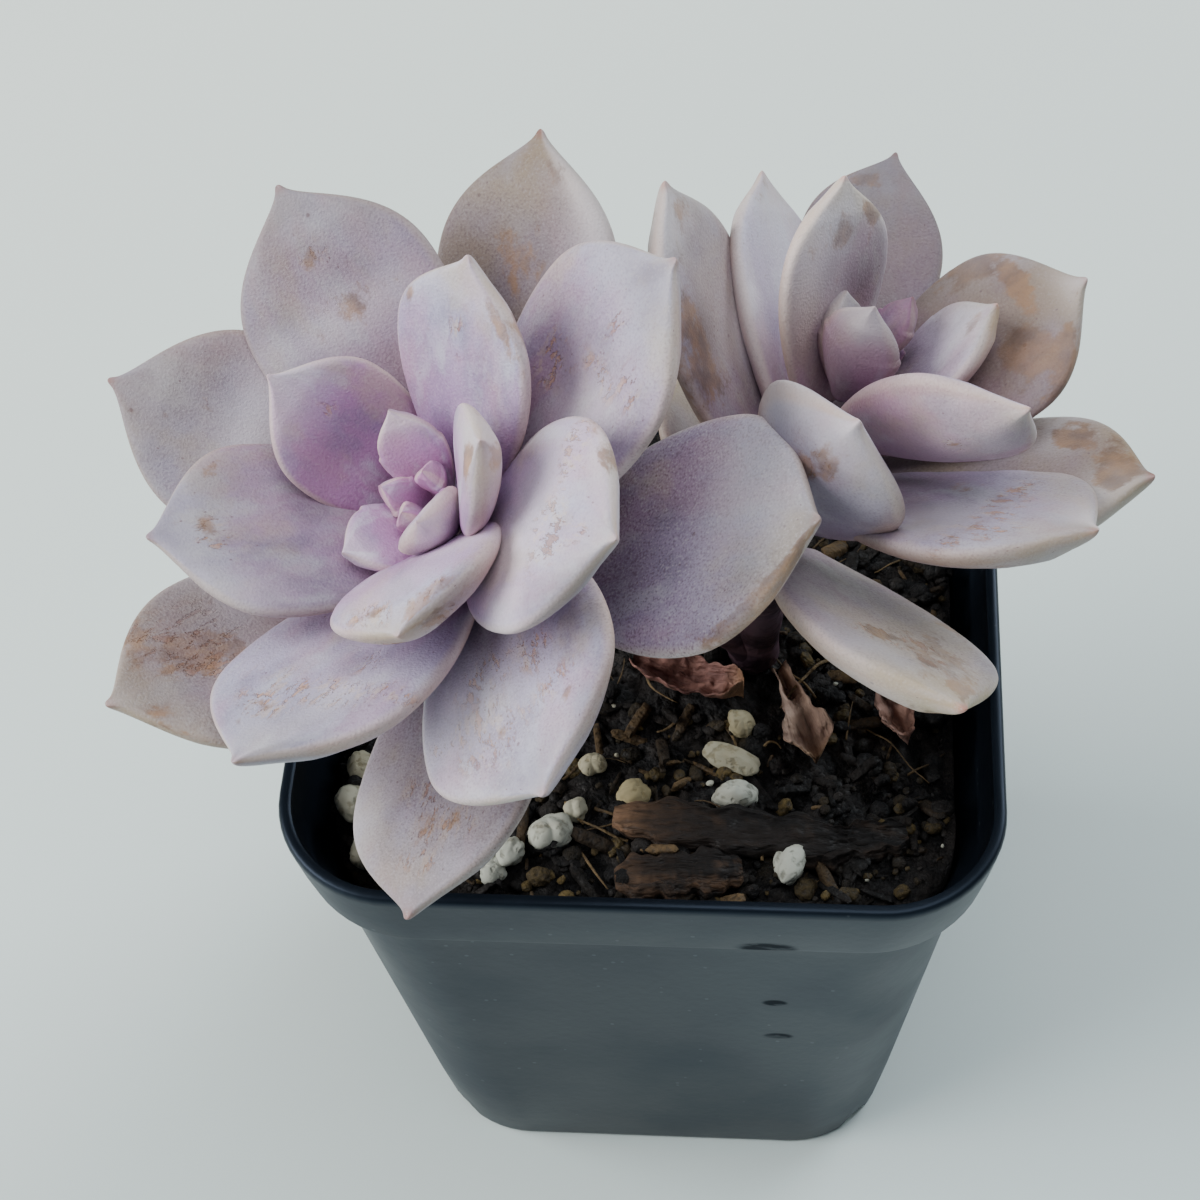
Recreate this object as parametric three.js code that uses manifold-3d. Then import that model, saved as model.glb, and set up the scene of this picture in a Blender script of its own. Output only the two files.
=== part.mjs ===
// Potted graptopetalum: a square nursery pot, its potting mix, one short trunk forked in two,
// and a rosette of thick, keeled, pointed leaves on each branch.
// Millimetres, +Z up. The origin is the middle of the pot's underside.

import * as THREE from 'three';
import { mergeVertices } from 'three/addons/utils/BufferGeometryUtils.js';
import Module from 'manifold-3d';

const wasm = await Module();
wasm.setup();

// driving dimensions

const GAP = 0.35;

// Pot
const POT_HEIGHT = 68;
const RIM_HALF = 35;
const LIP_DEPTH = 9;
const LIP_FOOT_HALF = 34;
const BODY_TOP_HALF = 32.4;
const BASE_HALF = 25.85;
const WALL = 1.3;
const FLOOR = 1.6;
const RIM_CORNER = 12;
const BASE_CORNER = 11;
const CORNER_STEPS = 5;
const MIX_CORNER_STEPS = 3;
const MIX_EDGE_STEPS = 3;
const DRAIN_RADIUS = 3.4;
const DRAIN_OFFSET = 20.5;

// Potting mix
const MIX_LEVEL = 60.6;
const MIX_RELIEF = 0.9;
const MIX_MOUND = 1.6;
const MIX_RINGS = 8;

// Stem
const TRUNK_FOOT = [10.2, 0.6, 48];
const FORK = [10.4, -1.2, 67];
const STEM_RADIUS = 2.2;
const TRUNK_RADIUS = 2.7;
const STEM_SIDES = 8;

// Rosettes: growing tip, lean of the axis from upright, and the heading of that lean in degrees
const LEFT = { apex: [-17, -17, 105], lean: 30, heading: -125 };
const RIGHT = { apex: [20.5, 1.5, 105], lean: 24, heading: 35 };

// Leaf form
const LEAF_STATIONS = 10;
const LEAF_SIDES = 10;
const HEART_STATIONS = 7;
const HEART_SIDES = 8;
const WIDEST_AT = 0.6;
const ROOT_SHARE = 0.34;
const SHOULDER = 2.6;
const TIP_POINT = 1.15;
const PINCH = 0.55;
const PINCH_REACH = 1.5;
const KEEL = 0.35;
const UPPER_SHARE = 0.26;
const CUP = 0.03;
const ROOT_RADIUS = 2.5;
const HEART_ROOT_RADIUS = 1.2;

// Leaves, from the heart outwards: name, azimuth on the rosette, distance below the growing tip,
// pitch up from the rosette's plane, roll, bend along the leaf (all degrees), length and width
const LEFT_HEART = [
  [70, 0.8, 80, 0, 0, 4.5, 2.8],
  [230, 0.8, 78, 0, 0, 4, 2.6],
  [330, 1.2, 74, 0, 0, 6, 3.6],
  [305, 1.8, 70, 12, 2, 11, 7.2],
  [104, 3.2, 58, 3, 0, 10.8, 6.2],
  [164, 2.8, 63, -3, 2, 6, 4],
  [220, 3.8, 50, -1, 1, 10.6, 7.4],
];

const RIGHT_HEART = [
  [200, 0.8, 80, 0, 0, 5, 3],
  [40, 1.2, 78, 0, 0, 7, 4.4],
  [240, 4.2, 74, 0, 4, 11, 8],
  [140, 4.4, 66, 0, 4, 8.6, 6.2],
  [72, 4.6, 62, 0, 4, 8, 6],
];

const LEFT_LEAVES = [
  ['left_leaf_01', 6, 2.6, 70, 2, -12, 18.4, 10.8],
  ['left_leaf_02', 284, 4.8, 68, 7, -24, 23, 15.8],
  ['left_leaf_03', 66, 5.5, 49, -9, -4, 24.5, 15.2],
  ['left_leaf_04', 342, 6, 55, -2, -24, 29, 19],
  ['left_leaf_05', 141, 8.4, 53, 9, 4, 21.8, 12.8],
  ['left_leaf_06', 192, 7.5, 48, 14, -5, 27, 17.8],
  ['left_leaf_07', 249, 7.8, 34, 13, 15, 32, 20.2],
  ['left_leaf_08', 34, 8, 33, -8, -2, 32.5, 20],
  ['left_leaf_09', 299, 8.6, 25, 12, 8, 31.5, 21.5],
  ['left_leaf_10', 116, 9, 29, -7, -2, 32.5, 20],
  ['left_leaf_11', 158, 10.5, 20, -5, 9, 34, 18.4],
  ['left_leaf_12', 219, 11.5, 23, 7, 28, 36, 20.2],
  ['left_leaf_13', 75.5, 13, 15, -7, 11, 34.5, 19.4],
  ['left_leaf_14', 268, 15.5, 11, 17, 15, 34.8, 20.4],
  ['left_leaf_15', 355, 18.5, 16, -10, 17, 34.2, 22.8],
];

const RIGHT_LEAVES = [
  ['right_leaf_01', 6, 6.5, 59, 2, 13, 16, 10.4],
  ['right_leaf_02', 295, 7.2, 43, -28, 1, 27, 12.8],
  ['right_leaf_03', 138, 8, 70, 0, 3, 21.7, 14.2],
  ['right_leaf_04', 17, 9, 49, 15, 11, 25, 17.8],
  ['right_leaf_05', 88, 11, 29, 0, 10, 30, 14.4],
  ['right_leaf_06', 122, 13, 38, 23, 3, 26.2, 15.2],
  ['right_leaf_07', 337, 13.5, 25, 18, 21, 30.8, 17.4],
  ['right_leaf_08', 313, 14, 28, 11, 10, 31.2, 18.2],
  ['right_leaf_09', 259, 16.8, 48, -24, 9, 27.5, 16.6],
  ['right_leaf_10', 165, 17.3, 44, -5, 13, 31.6, 16.4],
  ['right_leaf_11', 293, 22, 16, -8, 4, 32.4, 18.8],
  ['right_leaf_12', 132, 25, 18, 12, 11, 18.5, 12.8],
];

// Grains of perlite on the mix: x, y, half length, half width, half height, turn in degrees
const PERLITE = [
  [-26.4, -25.2, 2.4, 1.9, 1.7, 40],
  [-28.4, -20.4, 2, 1.8, 1.6, 80],
  [-28.6, -15.6, 1.8, 1.5, 1.4, 110],
  [-9, -23, 2.2, 1.9, 1.6, 15],
  [-12.6, -25.4, 1.5, 1.3, 1.2, 60],
  [-14.4, -27.2, 1.5, 1.3, 1.2, 100],
  [-1.2, -18, 1.7, 1.5, 1.3, 40],
  [1.4, -21, 1.8, 1.2, 1.2, 5],
  [9, -18, 2.4, 1.5, 1.5, 10],
  [14.6, -25.6, 2.3, 1.5, 1.6, 75],
  [-5.4, -14.6, 1.4, 1.2, 1.1, 30],
  [9.4, -9.8, 1.6, 1.3, 1.2, 120],
  [-6.6, -20, 1.3, 1.1, 1, 80],
  [8.4, -13.9, 3.2, 1.3, 1.1, -22],
];

// Chips of bark: name, x, y, half length, half width, half height, turn in degrees
const BARK = [
  ['bark_chip_1', 8.6, -22.2, 11.5, 2.6, 1.2, -6],
  ['bark_chip_2', 3.8, -27.2, 6.2, 2.6, 1.3, 7],
  ['bark_chip_3', 20, -23.2, 6, 2.2, 1.2, 12],
];

// Dried leaves on the mix: name, root x, y, heading, length, width, curl along, curl across,
// and how far out the broadest place lies, as a power
const DRY_LEAVES = [
  ['dry_leaf_1', -1.8, -4, -16, 11.8, 5.6, 40, 0.34, 1],
  ['dry_leaf_2', 12.9, -3, -70, 11.6, 5.4, -34, 0.26, 2.4],
  ['dry_leaf_3', 23.4, -5.6, -66, 6.5, 4, 30, 0.36, 1],
];
const DRY_THICKNESS = 0.9;

const COLOURS = {
  pot: [0x2c333b, 0.42],
  mix: [0x1d1712, 0.95],
  stem: [0x7d6470, 0.62],
  leftLeaf: [0xbfaebd, 0.66],
  rightLeaf: [0xbbacb4, 0.66],
  heart: [0xb98fa8, 0.6],
  perlite: [0xe6e4dc, 0.9],
  bark: [0x3d2a1e, 0.92],
  dryLeaf: [0x8c5a50, 0.85],
};

// helpers

const rad = THREE.MathUtils.degToRad;
const vec = (a) => new THREE.Vector3(a[0], a[1], a[2]);

function closedGeometry(points, triangles) {
  const raw = new THREE.BufferGeometry();
  raw.setAttribute('position', new THREE.Float32BufferAttribute(points.flat(), 3));
  raw.setIndex(triangles.flat());
  return mergeVertices(raw, 1e-4);
}

// Rings of equal length, in order; the first and the last are closed by a fan to a middle point.
function ringSolid(rings, firstMiddle, lastMiddle) {
  const count = rings[0].length;
  const points = rings.flat();
  const triangles = [];
  for (let i = 0; i < rings.length - 1; i += 1) {
    for (let j = 0; j < count; j += 1) {
      const k = (j + 1) % count;
      const a = i * count + j;
      const b = i * count + k;
      triangles.push([a, b, b + count], [a, b + count, a + count]);
    }
  }
  const first = points.push(firstMiddle) - 1;
  const last = points.push(lastMiddle) - 1;
  const start = (rings.length - 1) * count;
  for (let j = 0; j < count; j += 1) {
    const k = (j + 1) % count;
    triangles.push([first, k, j], [last, start + j, start + k]);
  }
  return closedGeometry(points, triangles);
}

// The same solid with every vertex moved out along its normal.
function swollen(geometry, distance) {
  const grown = geometry.clone();
  grown.computeVertexNormals();
  const position = grown.attributes.position;
  const normal = grown.attributes.normal;
  for (let i = 0; i < position.count; i += 1) {
    position.setXYZ(
      i,
      position.getX(i) + distance * normal.getX(i),
      position.getY(i) + distance * normal.getY(i),
      position.getZ(i) + distance * normal.getZ(i),
    );
  }
  grown.deleteAttribute('normal');
  return grown;
}

function toSolid(geometry) {
  const plain = geometry.clone();
  plain.deleteAttribute('normal');
  plain.deleteAttribute('uv');
  const merged = mergeVertices(plain, 1e-4);
  return new wasm.Manifold(new wasm.Mesh({
    numProp: 3,
    vertProperties: new Float32Array(merged.attributes.position.array),
    triVerts: new Uint32Array(merged.index.array),
  }));
}

// The largest connected body of a solid, as a geometry.
function mainBody(solid) {
  const mesh = solid.getMesh();
  const parent = Array.from({ length: mesh.vertProperties.length / 3 }, (_, i) => i);
  const find = (start) => {
    let i = start;
    while (parent[i] !== i) {
      parent[i] = parent[parent[i]];
      i = parent[i];
    }
    return i;
  };
  for (let t = 0; t < mesh.triVerts.length; t += 3) {
    parent[find(mesh.triVerts[t])] = find(mesh.triVerts[t + 1]);
    parent[find(mesh.triVerts[t + 1])] = find(mesh.triVerts[t + 2]);
  }
  const volumes = new Map();
  const corner = (i) => vec(mesh.vertProperties.slice(3 * i, 3 * i + 3));
  for (let t = 0; t < mesh.triVerts.length; t += 3) {
    const [a, b, c] = [0, 1, 2].map((k) => corner(mesh.triVerts[t + k]));
    const root = find(mesh.triVerts[t]);
    volumes.set(root, (volumes.get(root) ?? 0) + a.dot(b.cross(c)) / 6);
  }
  const largest = [...volumes.entries()].sort((p, q) => q[1] - p[1])[0][0];
  const index = [];
  for (let t = 0; t < mesh.triVerts.length; t += 3) {
    if (find(mesh.triVerts[t]) === largest) {
      index.push(mesh.triVerts[t], mesh.triVerts[t + 1], mesh.triVerts[t + 2]);
    }
  }
  const geometry = new THREE.BufferGeometry();
  geometry.setAttribute('position', new THREE.BufferAttribute(new Float32Array(mesh.vertProperties), 3));
  geometry.setIndex(index);
  return geometry;
}

const object = new THREE.Group();

// Solids already placed, swollen by the gap; later pieces are pressed in by them.
const placed = [];

function addPiece(name, geometry, colour) {
  geometry.computeVertexNormals();
  const [shade, roughness] = COLOURS[colour];
  const material = new THREE.MeshStandardMaterial({ color: shade, roughness, metalness: 0 });
  const mesh = new THREE.Mesh(geometry, material);
  mesh.name = name;
  object.add(mesh);
}

function remember(geometry) {
  const grown = swollen(geometry, GAP);
  grown.computeBoundingBox();
  placed.push({ box: grown.boundingBox, solid: toSolid(grown) });
}

// Adds a piece with the room of all the pieces placed before taken out of it.
function addPressed(name, geometry, colour) {
  geometry.computeBoundingBox();
  let solid = toSolid(geometry);
  let touched = false;
  for (const other of placed) {
    if (other.box.intersectsBox(geometry.boundingBox)) {
      solid = solid.subtract(other.solid);
      touched = true;
    }
  }
  remember(geometry);
  addPiece(name, touched ? mainBody(solid) : geometry, colour);
}

// leaves

function rosetteAxes(rosette) {
  const lean = rad(rosette.lean);
  const heading = rad(rosette.heading);
  const axis = vec([
    Math.sin(lean) * Math.cos(heading),
    Math.sin(lean) * Math.sin(heading),
    Math.cos(lean),
  ]);
  const east = vec([1, 0, 0]).addScaledVector(axis, -axis.x).normalize();
  return { axis, east, north: axis.clone().cross(east) };
}

// Half width along the leaf as a share of the greatest: a sine rise from the root to the widest
// place, then a rounded shoulder pinched into a short point.
function halfWidth(s, length) {
  if (s < WIDEST_AT) {
    return ROOT_SHARE + (1 - ROOT_SHARE) * Math.sin((Math.PI / 2) * (s / WIDEST_AT));
  }
  const u = (s - WIDEST_AT) / (1 - WIDEST_AT);
  const pinch = 1 - PINCH * Math.exp(((s - 1) * length) / PINCH_REACH);
  return pinch * Math.max(0, 1 - u ** SHOULDER) ** TIP_POINT;
}

function leafThickness(width) {
  return 2.2 + 0.14 * width;
}

// Depth along the leaf as a share of the thickness: fullest past the middle, thin at the point.
function depthShare(s) {
  const swell = 0.55 + 0.45 * Math.sin(0.9 * Math.PI * Math.min(1, s / 0.9));
  return swell * Math.min(1, (1 - s) / 0.16) ** 0.6;
}

// A leaf: sections across a bent centre line, nearly flat above, with a blunt keel below.
function leafGeometry(rosette, spec, rootRadius, stations, sides) {
  const [azimuth, drop, pitch, roll, bend, length, width] = spec;
  const { axis, east, north } = rosetteAxes(rosette);
  const turn = rad(azimuth);
  const out = east.clone().multiplyScalar(Math.cos(turn)).addScaledVector(north, Math.sin(turn));
  const side = east.clone().multiplyScalar(-Math.sin(turn)).addScaledVector(north, Math.cos(turn));
  const rise = rad(pitch);
  const along = out.clone().multiplyScalar(Math.cos(rise)).addScaledVector(axis, Math.sin(rise));
  const face = out.clone().multiplyScalar(-Math.sin(rise)).addScaledVector(axis, Math.cos(rise));
  const tilt = rad(roll);
  const across = side.clone().multiplyScalar(Math.cos(tilt)).addScaledVector(face, Math.sin(tilt));
  const up = side.clone().multiplyScalar(-Math.sin(tilt)).addScaledVector(face, Math.cos(tilt));
  const root = vec(rosette.apex).addScaledVector(axis, -drop).addScaledVector(out, rootRadius);

  const thickness = leafThickness(width);
  const rings = [];
  const centre = new THREE.Vector2(0, 0);
  let before = 0;
  for (let i = 0; i < stations; i += 1) {
    const s = i === stations - 1 ? 0.985 : 1 - (1 - i / (stations - 1)) ** 1.35;
    const middle = rad(bend) * (s + before) / 2;
    centre.x += Math.cos(middle) * (s - before) * length;
    centre.y += Math.sin(middle) * (s - before) * length;
    before = s;
    const angle = rad(bend) * s;
    const half = (width / 2) * halfWidth(s, length);
    const depth = thickness * depthShare(s);
    const ring = [];
    for (let j = 0; j < sides; j += 1) {
      const theta = (2 * Math.PI * j) / sides;
      const share = Math.abs(Math.cos(theta));
      const over = UPPER_SHARE * Math.sqrt(Math.max(0, 1 - share ** 6));
      const belly = (1 - KEEL) * Math.sqrt(Math.max(0, 1 - share ** 2.4));
      const under = (1 - UPPER_SHARE) * (belly + KEEL * (1 - share));
      const x = half * Math.cos(theta);
      const y = depth * (Math.sin(theta) >= 0 ? over : -under) + CUP * width * ((2 * x) / width) ** 2;
      ring.push(root.clone()
        .addScaledVector(along, centre.x - y * Math.sin(angle))
        .addScaledVector(up, centre.y + y * Math.cos(angle))
        .addScaledVector(across, x)
        .toArray());
    }
    rings.push(ring);
  }
  const end = rad(bend);
  const tip = root.clone()
    .addScaledVector(along, centre.x + Math.cos(end) * 0.015 * length)
    .addScaledVector(up, centre.y + Math.sin(end) * 0.015 * length);
  return ringSolid(rings, root.toArray(), tip.toArray());
}

// stem

function tubeGeometry(points, radii) {
  const curve = new THREE.CatmullRomCurve3(points.map(vec), false, 'centripetal');
  const steps = 3 * (points.length - 1);
  const rings = [];
  let across = vec([1, 0, 0]);
  for (let i = 0; i <= steps; i += 1) {
    const t = i / steps;
    const middle = curve.getPoint(t);
    const along = curve.getTangent(t);
    across = across.addScaledVector(along, -across.dot(along)).normalize();
    const other = along.clone().cross(across);
    const place = t * (points.length - 1);
    const low = Math.min(points.length - 2, Math.floor(place));
    const radius = THREE.MathUtils.lerp(radii[low], radii[low + 1], place - low);
    const ring = [];
    for (let j = 0; j < STEM_SIDES; j += 1) {
      const theta = (2 * Math.PI * j) / STEM_SIDES;
      ring.push(middle.clone()
        .addScaledVector(across, radius * Math.cos(theta))
        .addScaledVector(other, radius * Math.sin(theta))
        .toArray());
    }
    rings.push(ring);
  }
  return ringSolid(rings, curve.getPoint(0).toArray(), curve.getPoint(1).toArray());
}

function onAxis(rosette, drop) {
  return vec(rosette.apex).addScaledVector(rosetteAxes(rosette).axis, -drop).toArray();
}

function stemGeometry() {
  const left = tubeGeometry(
    [TRUNK_FOOT, FORK, onAxis(LEFT, 20), onAxis(LEFT, 12), onAxis(LEFT, 6.4)],
    [TRUNK_RADIUS, TRUNK_RADIUS, STEM_RADIUS, STEM_RADIUS, STEM_RADIUS * 0.9],
  );
  const right = tubeGeometry(
    [[FORK[0], FORK[1], FORK[2] - 5], onAxis(RIGHT, 27), onAxis(RIGHT, 16), onAxis(RIGHT, 7.4)],
    [TRUNK_RADIUS * 0.9, STEM_RADIUS, STEM_RADIUS, STEM_RADIUS * 0.9],
  );
  return mainBody(toSolid(left).add(toSolid(right)));
}

// The small leaves round a growing tip, grown together on a short core.
function heartGeometry(rosette, leaves, coreDrop) {
  let heart = toSolid(tubeGeometry(
    [onAxis(rosette, coreDrop), onAxis(rosette, coreDrop / 2), onAxis(rosette, -0.6)],
    [2, 2, 0.7],
  ));
  for (const spec of leaves) {
    const leaf = leafGeometry(rosette, spec, HEART_ROOT_RADIUS, HEART_STATIONS, HEART_SIDES);
    heart = heart.add(toSolid(leaf));
  }
  return mainBody(heart);
}

// pot and mix

// Points of a square with round corners, anticlockwise, at one height.
function roundSquare(half, corner, z, cornerSteps = CORNER_STEPS, edgeSteps = 1) {
  const points = [];
  for (let quarter = 0; quarter < 4; quarter += 1) {
    const signX = quarter === 0 || quarter === 3 ? 1 : -1;
    const signY = quarter < 2 ? 1 : -1;
    for (let step = 0; step <= cornerSteps; step += 1) {
      const angle = (Math.PI / 2) * (quarter + step / cornerSteps);
      points.push([
        signX * (half - corner) + corner * Math.cos(angle),
        signY * (half - corner) + corner * Math.sin(angle),
        z,
      ]);
    }
    const [endX, endY] = points[points.length - 1];
    const run = 2 * (half - corner);
    const [stepX, stepY] = [[-1, 0], [0, -1], [1, 0], [0, 1]][quarter];
    for (let step = 1; step < edgeSteps; step += 1) {
      const part = (run * step) / edgeSteps;
      points.push([endX + stepX * part, endY + stepY * part, z]);
    }
  }
  return points;
}

function bodyHalf(z) {
  return THREE.MathUtils.lerp(BASE_HALF, BODY_TOP_HALF, z / (POT_HEIGHT - LIP_DEPTH));
}

function bodyCorner(z) {
  return THREE.MathUtils.lerp(BASE_CORNER, RIM_CORNER, z / POT_HEIGHT);
}

function potGeometry() {
  const lipFoot = POT_HEIGHT - LIP_DEPTH;
  const inner = WALL;
  const rings = [
    roundSquare(BASE_HALF - 0.8, BASE_CORNER - 0.8, 0),
    roundSquare(BASE_HALF, BASE_CORNER, 0.9),
    roundSquare(BODY_TOP_HALF, bodyCorner(lipFoot), lipFoot - 0.8),
    roundSquare(LIP_FOOT_HALF, bodyCorner(lipFoot) + 0.4, lipFoot),
    roundSquare(RIM_HALF, RIM_CORNER, POT_HEIGHT - 0.6),
    roundSquare(RIM_HALF - 0.4, RIM_CORNER - 0.4, POT_HEIGHT),
    roundSquare(RIM_HALF - inner, RIM_CORNER - inner, POT_HEIGHT),
    roundSquare(LIP_FOOT_HALF - inner, bodyCorner(lipFoot) - inner + 0.4, lipFoot + 1.2),
    roundSquare(BODY_TOP_HALF - inner, bodyCorner(lipFoot) - inner, lipFoot - 0.6),
    roundSquare(bodyHalf(FLOOR) - inner, BASE_CORNER - inner, FLOOR),
  ];
  let pot = toSolid(ringSolid(rings, [0, 0, 0], [0, 0, FLOOR]));
  for (const x of [-1, 1]) {
    for (const y of [-1, 1]) {
      const drain = new THREE.CylinderGeometry(DRAIN_RADIUS, DRAIN_RADIUS, 5, 14);
      drain.rotateX(Math.PI / 2);
      drain.translate(x * DRAIN_OFFSET, y * DRAIN_OFFSET, 0.4);
      pot = pot.subtract(toSolid(drain));
    }
  }
  return mainBody(pot);
}

// Height of the mix's top: a low mound round the trunk, with lumps of several sizes.
function mixHeight(x, y) {
  const far = Math.hypot(x - TRUNK_FOOT[0], y - TRUNK_FOOT[1]);
  const mound = MIX_MOUND * Math.exp(-((far / 15) ** 2));
  const lumps = 0.5 * Math.sin(0.55 * x + 1.3) * Math.cos(0.48 * y - 0.4)
    + 0.32 * Math.sin(0.93 * x - 0.7 * y + 2.1)
    + 0.18 * Math.cos(1.3 * x + 1.1 * y);
  return MIX_LEVEL + mound + MIX_RELIEF * lumps;
}

function mixGeometry() {
  const clear = WALL + GAP;
  const edge = POT_HEIGHT - LIP_DEPTH - 0.8;
  const outline = (half, corner, z) => roundSquare(half, corner, z, MIX_CORNER_STEPS, MIX_EDGE_STEPS);
  const rings = [
    outline(bodyHalf(FLOOR) - clear, BASE_CORNER - clear, FLOOR + GAP),
    outline(bodyHalf(edge) - clear, bodyCorner(edge) - clear, edge),
  ];
  for (let i = 0; i < MIX_RINGS; i += 1) {
    const share = 1 - i / MIX_RINGS;
    const ring = outline(
      share * (bodyHalf(edge) - clear),
      Math.max(share * (bodyCorner(edge) - clear), 0.5 * share),
      0,
    );
    rings.push(ring.map(([x, y]) => [x, y, mixHeight(x, y) - 0.9 * share ** 6]));
  }
  return ringSolid(rings, [0, 0, FLOOR + GAP], [0, 0, mixHeight(0, 0)]);
}

// what lies on the mix

// A rounded lump: an icosphere stretched to its half sizes and dented by three waves.
function lumpGeometry(spec, seed, detail, dent) {
  const [x, y, a, b, c, turn] = spec;
  const ball = new THREE.IcosahedronGeometry(1, detail);
  const position = ball.attributes.position;
  for (let i = 0; i < position.count; i += 1) {
    const p = new THREE.Vector3().fromBufferAttribute(position, i);
    const wave = Math.sin(2.3 * p.x + seed) * Math.sin(2.9 * p.y - 1.7 * seed)
      + 0.6 * Math.sin(4.1 * p.z + 2.3 * seed);
    p.multiplyScalar(1 + dent * wave);
    position.setXYZ(i, a * p.x, b * p.y, c * p.z);
  }
  ball.rotateZ(rad(turn));
  ball.translate(x, y, mixHeight(x, y) + 0.45 * c);
  ball.deleteAttribute('normal');
  ball.deleteAttribute('uv');
  return mergeVertices(ball, 1e-4);
}

// A chip of bark: a slab with a ragged outline, thicker along its middle.
function chipGeometry(spec, seed) {
  const [x, y, a, b, c, turn] = spec;
  const stations = 8;
  const rings = [];
  for (let i = 0; i <= stations; i += 1) {
    const t = -1 + (2 * i) / stations;
    const ragged = 1 + 0.16 * Math.sin(3.1 * i + seed) + 0.08 * Math.sin(5.3 * i + 2 * seed);
    const half = b * ragged * (1 - 0.55 * t ** 6);
    const high = c * (1 - 0.4 * t ** 4) * (1 + 0.12 * Math.sin(2.2 * i + seed));
    const section = [[-1, -0.3], [-0.6, -1], [0.6, -1], [1, -0.3], [0.9, 0.5], [0.2, 1], [-0.7, 0.7]];
    rings.push(section.map(([u, v]) => [t * a, u * half, v * high]));
  }
  const chip = ringSolid(rings, [-a - 0.5, 0, 0], [a + 0.5, 0, 0]);
  chip.rotateZ(rad(turn));
  chip.translate(x, y, mixHeight(x, y) + 0.5 * c);
  return chip;
}

// A dried leaf: a thin blade, curled along and across, with a crumpled edge.
function dryLeafGeometry(spec, seed) {
  const [x, y, heading, length, width, curl, roll, fullness] = spec;
  const stations = 8;
  const spread = [-1, -0.5, 0, 0.5, 1];
  const sides = [...spread.map((u) => [u, 1]), ...spread.map((u) => [-u, -1])];
  const rings = [];
  for (let i = 0; i <= stations; i += 1) {
    const s = i / stations;
    const angle = rad(curl) * (s - 0.5);
    const half = (width / 2) * (0.3 + 0.7 * Math.sin(Math.PI * s ** fullness));
    rings.push(sides.map(([u, face]) => {
      const crumple = 0.35 * Math.sin(3.4 * s * Math.PI + 2.5 * u + seed);
      const lift = roll * width * u * u + crumple + 0.5 * Math.sin(angle) * length * (s - 0.5);
      return [s * length, -u * half, lift + (face * DRY_THICKNESS) / 2];
    }));
  }
  const blade = ringSolid(rings, [-0.4, 0, 0.2], [length + 0.4, 0, 0.2]);
  blade.rotateZ(rad(heading));
  const middleX = x + 0.5 * length * Math.cos(rad(heading));
  const middleY = y + 0.5 * length * Math.sin(rad(heading));
  blade.translate(x, y, mixHeight(middleX, middleY) + 0.9);
  return blade;
}

// assembly

const stem = stemGeometry();
addPiece('forked_stem', stem, 'stem');
remember(stem);

const leftHeart = heartGeometry(LEFT, LEFT_HEART, 5.6);
addPressed('left_heart', leftHeart, 'heart');
const rightHeart = heartGeometry(RIGHT, RIGHT_HEART, 6.4);
addPressed('right_heart', rightHeart, 'heart');

for (const [name, ...spec] of LEFT_LEAVES) {
  addPressed(name, leafGeometry(LEFT, spec, ROOT_RADIUS, LEAF_STATIONS, LEAF_SIDES), 'leftLeaf');
}
for (const [name, ...spec] of RIGHT_LEAVES) {
  addPressed(name, leafGeometry(RIGHT, spec, ROOT_RADIUS, LEAF_STATIONS, LEAF_SIDES), 'rightLeaf');
}

PERLITE.forEach((spec, i) => {
  const name = `perlite_${String(i + 1).padStart(2, '0')}`;
  addPressed(name, lumpGeometry(spec, 1.7 * i + 0.6, 1, 0.12), 'perlite');
});
BARK.forEach(([name, ...spec], i) => {
  addPressed(name, chipGeometry(spec, 1.9 * i + 0.8), 'bark');
});
DRY_LEAVES.forEach(([name, ...spec], i) => {
  addPressed(name, dryLeafGeometry(spec, 2.1 * i + 0.5), 'dryLeaf');
});

addPressed('potting_mix', mixGeometry(), 'mix');
addPiece('pot', potGeometry(), 'pot');

export default object;
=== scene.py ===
"""Potted graptopetalum: fine surfaces and finishes for the leaves, stem, pot, mix and what lies on it.

Metres, +Z up, the origin in the middle of the pot's underside. Tables are in millimetres and degrees.
"""
import math

import bpy
import numpy as np
from mathutils import Matrix


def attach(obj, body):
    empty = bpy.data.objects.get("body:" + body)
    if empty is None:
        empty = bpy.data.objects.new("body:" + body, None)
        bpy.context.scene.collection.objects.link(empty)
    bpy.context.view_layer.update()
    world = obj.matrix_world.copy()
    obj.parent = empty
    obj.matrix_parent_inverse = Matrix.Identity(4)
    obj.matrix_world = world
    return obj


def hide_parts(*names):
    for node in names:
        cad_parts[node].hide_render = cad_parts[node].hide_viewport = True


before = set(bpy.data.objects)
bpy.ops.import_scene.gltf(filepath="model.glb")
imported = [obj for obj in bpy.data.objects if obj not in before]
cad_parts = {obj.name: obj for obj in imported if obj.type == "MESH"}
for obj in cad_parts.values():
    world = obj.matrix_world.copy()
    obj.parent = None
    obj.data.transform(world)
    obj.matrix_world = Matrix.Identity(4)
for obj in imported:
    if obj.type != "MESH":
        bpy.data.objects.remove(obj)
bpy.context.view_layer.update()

MM = 0.001

# Pot
POT_HEIGHT = 68
RIM_HALF = 35
LIP_DEPTH = 9
LIP_FOOT_HALF = 34
BODY_TOP_HALF = 32.4
BASE_HALF = 25.85
WALL = 1.3
FLOOR = 1.6
RIM_CORNER = 12
BASE_CORNER = 11
DRAIN_RADIUS = 3.4
DRAIN_OFFSET = 20.5

# Where the pot is rubbed smooth: the middle of each mark and its half sizes
RUBBED_MARKS = [
    ((12.4, -34.1, 59.6), (3.4, 3, 1.5)),
    ((13.3, -30.6, 42.4), (1.5, 3, 0.9)),
    ((13.7, -29.6, 33.4), (1.8, 3, 0.9)),
]

# Potting mix
GAP = 0.35
MIX_LEVEL = 60.6
MIX_RELIEF = 0.9
MIX_MOUND = 1.6

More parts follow.
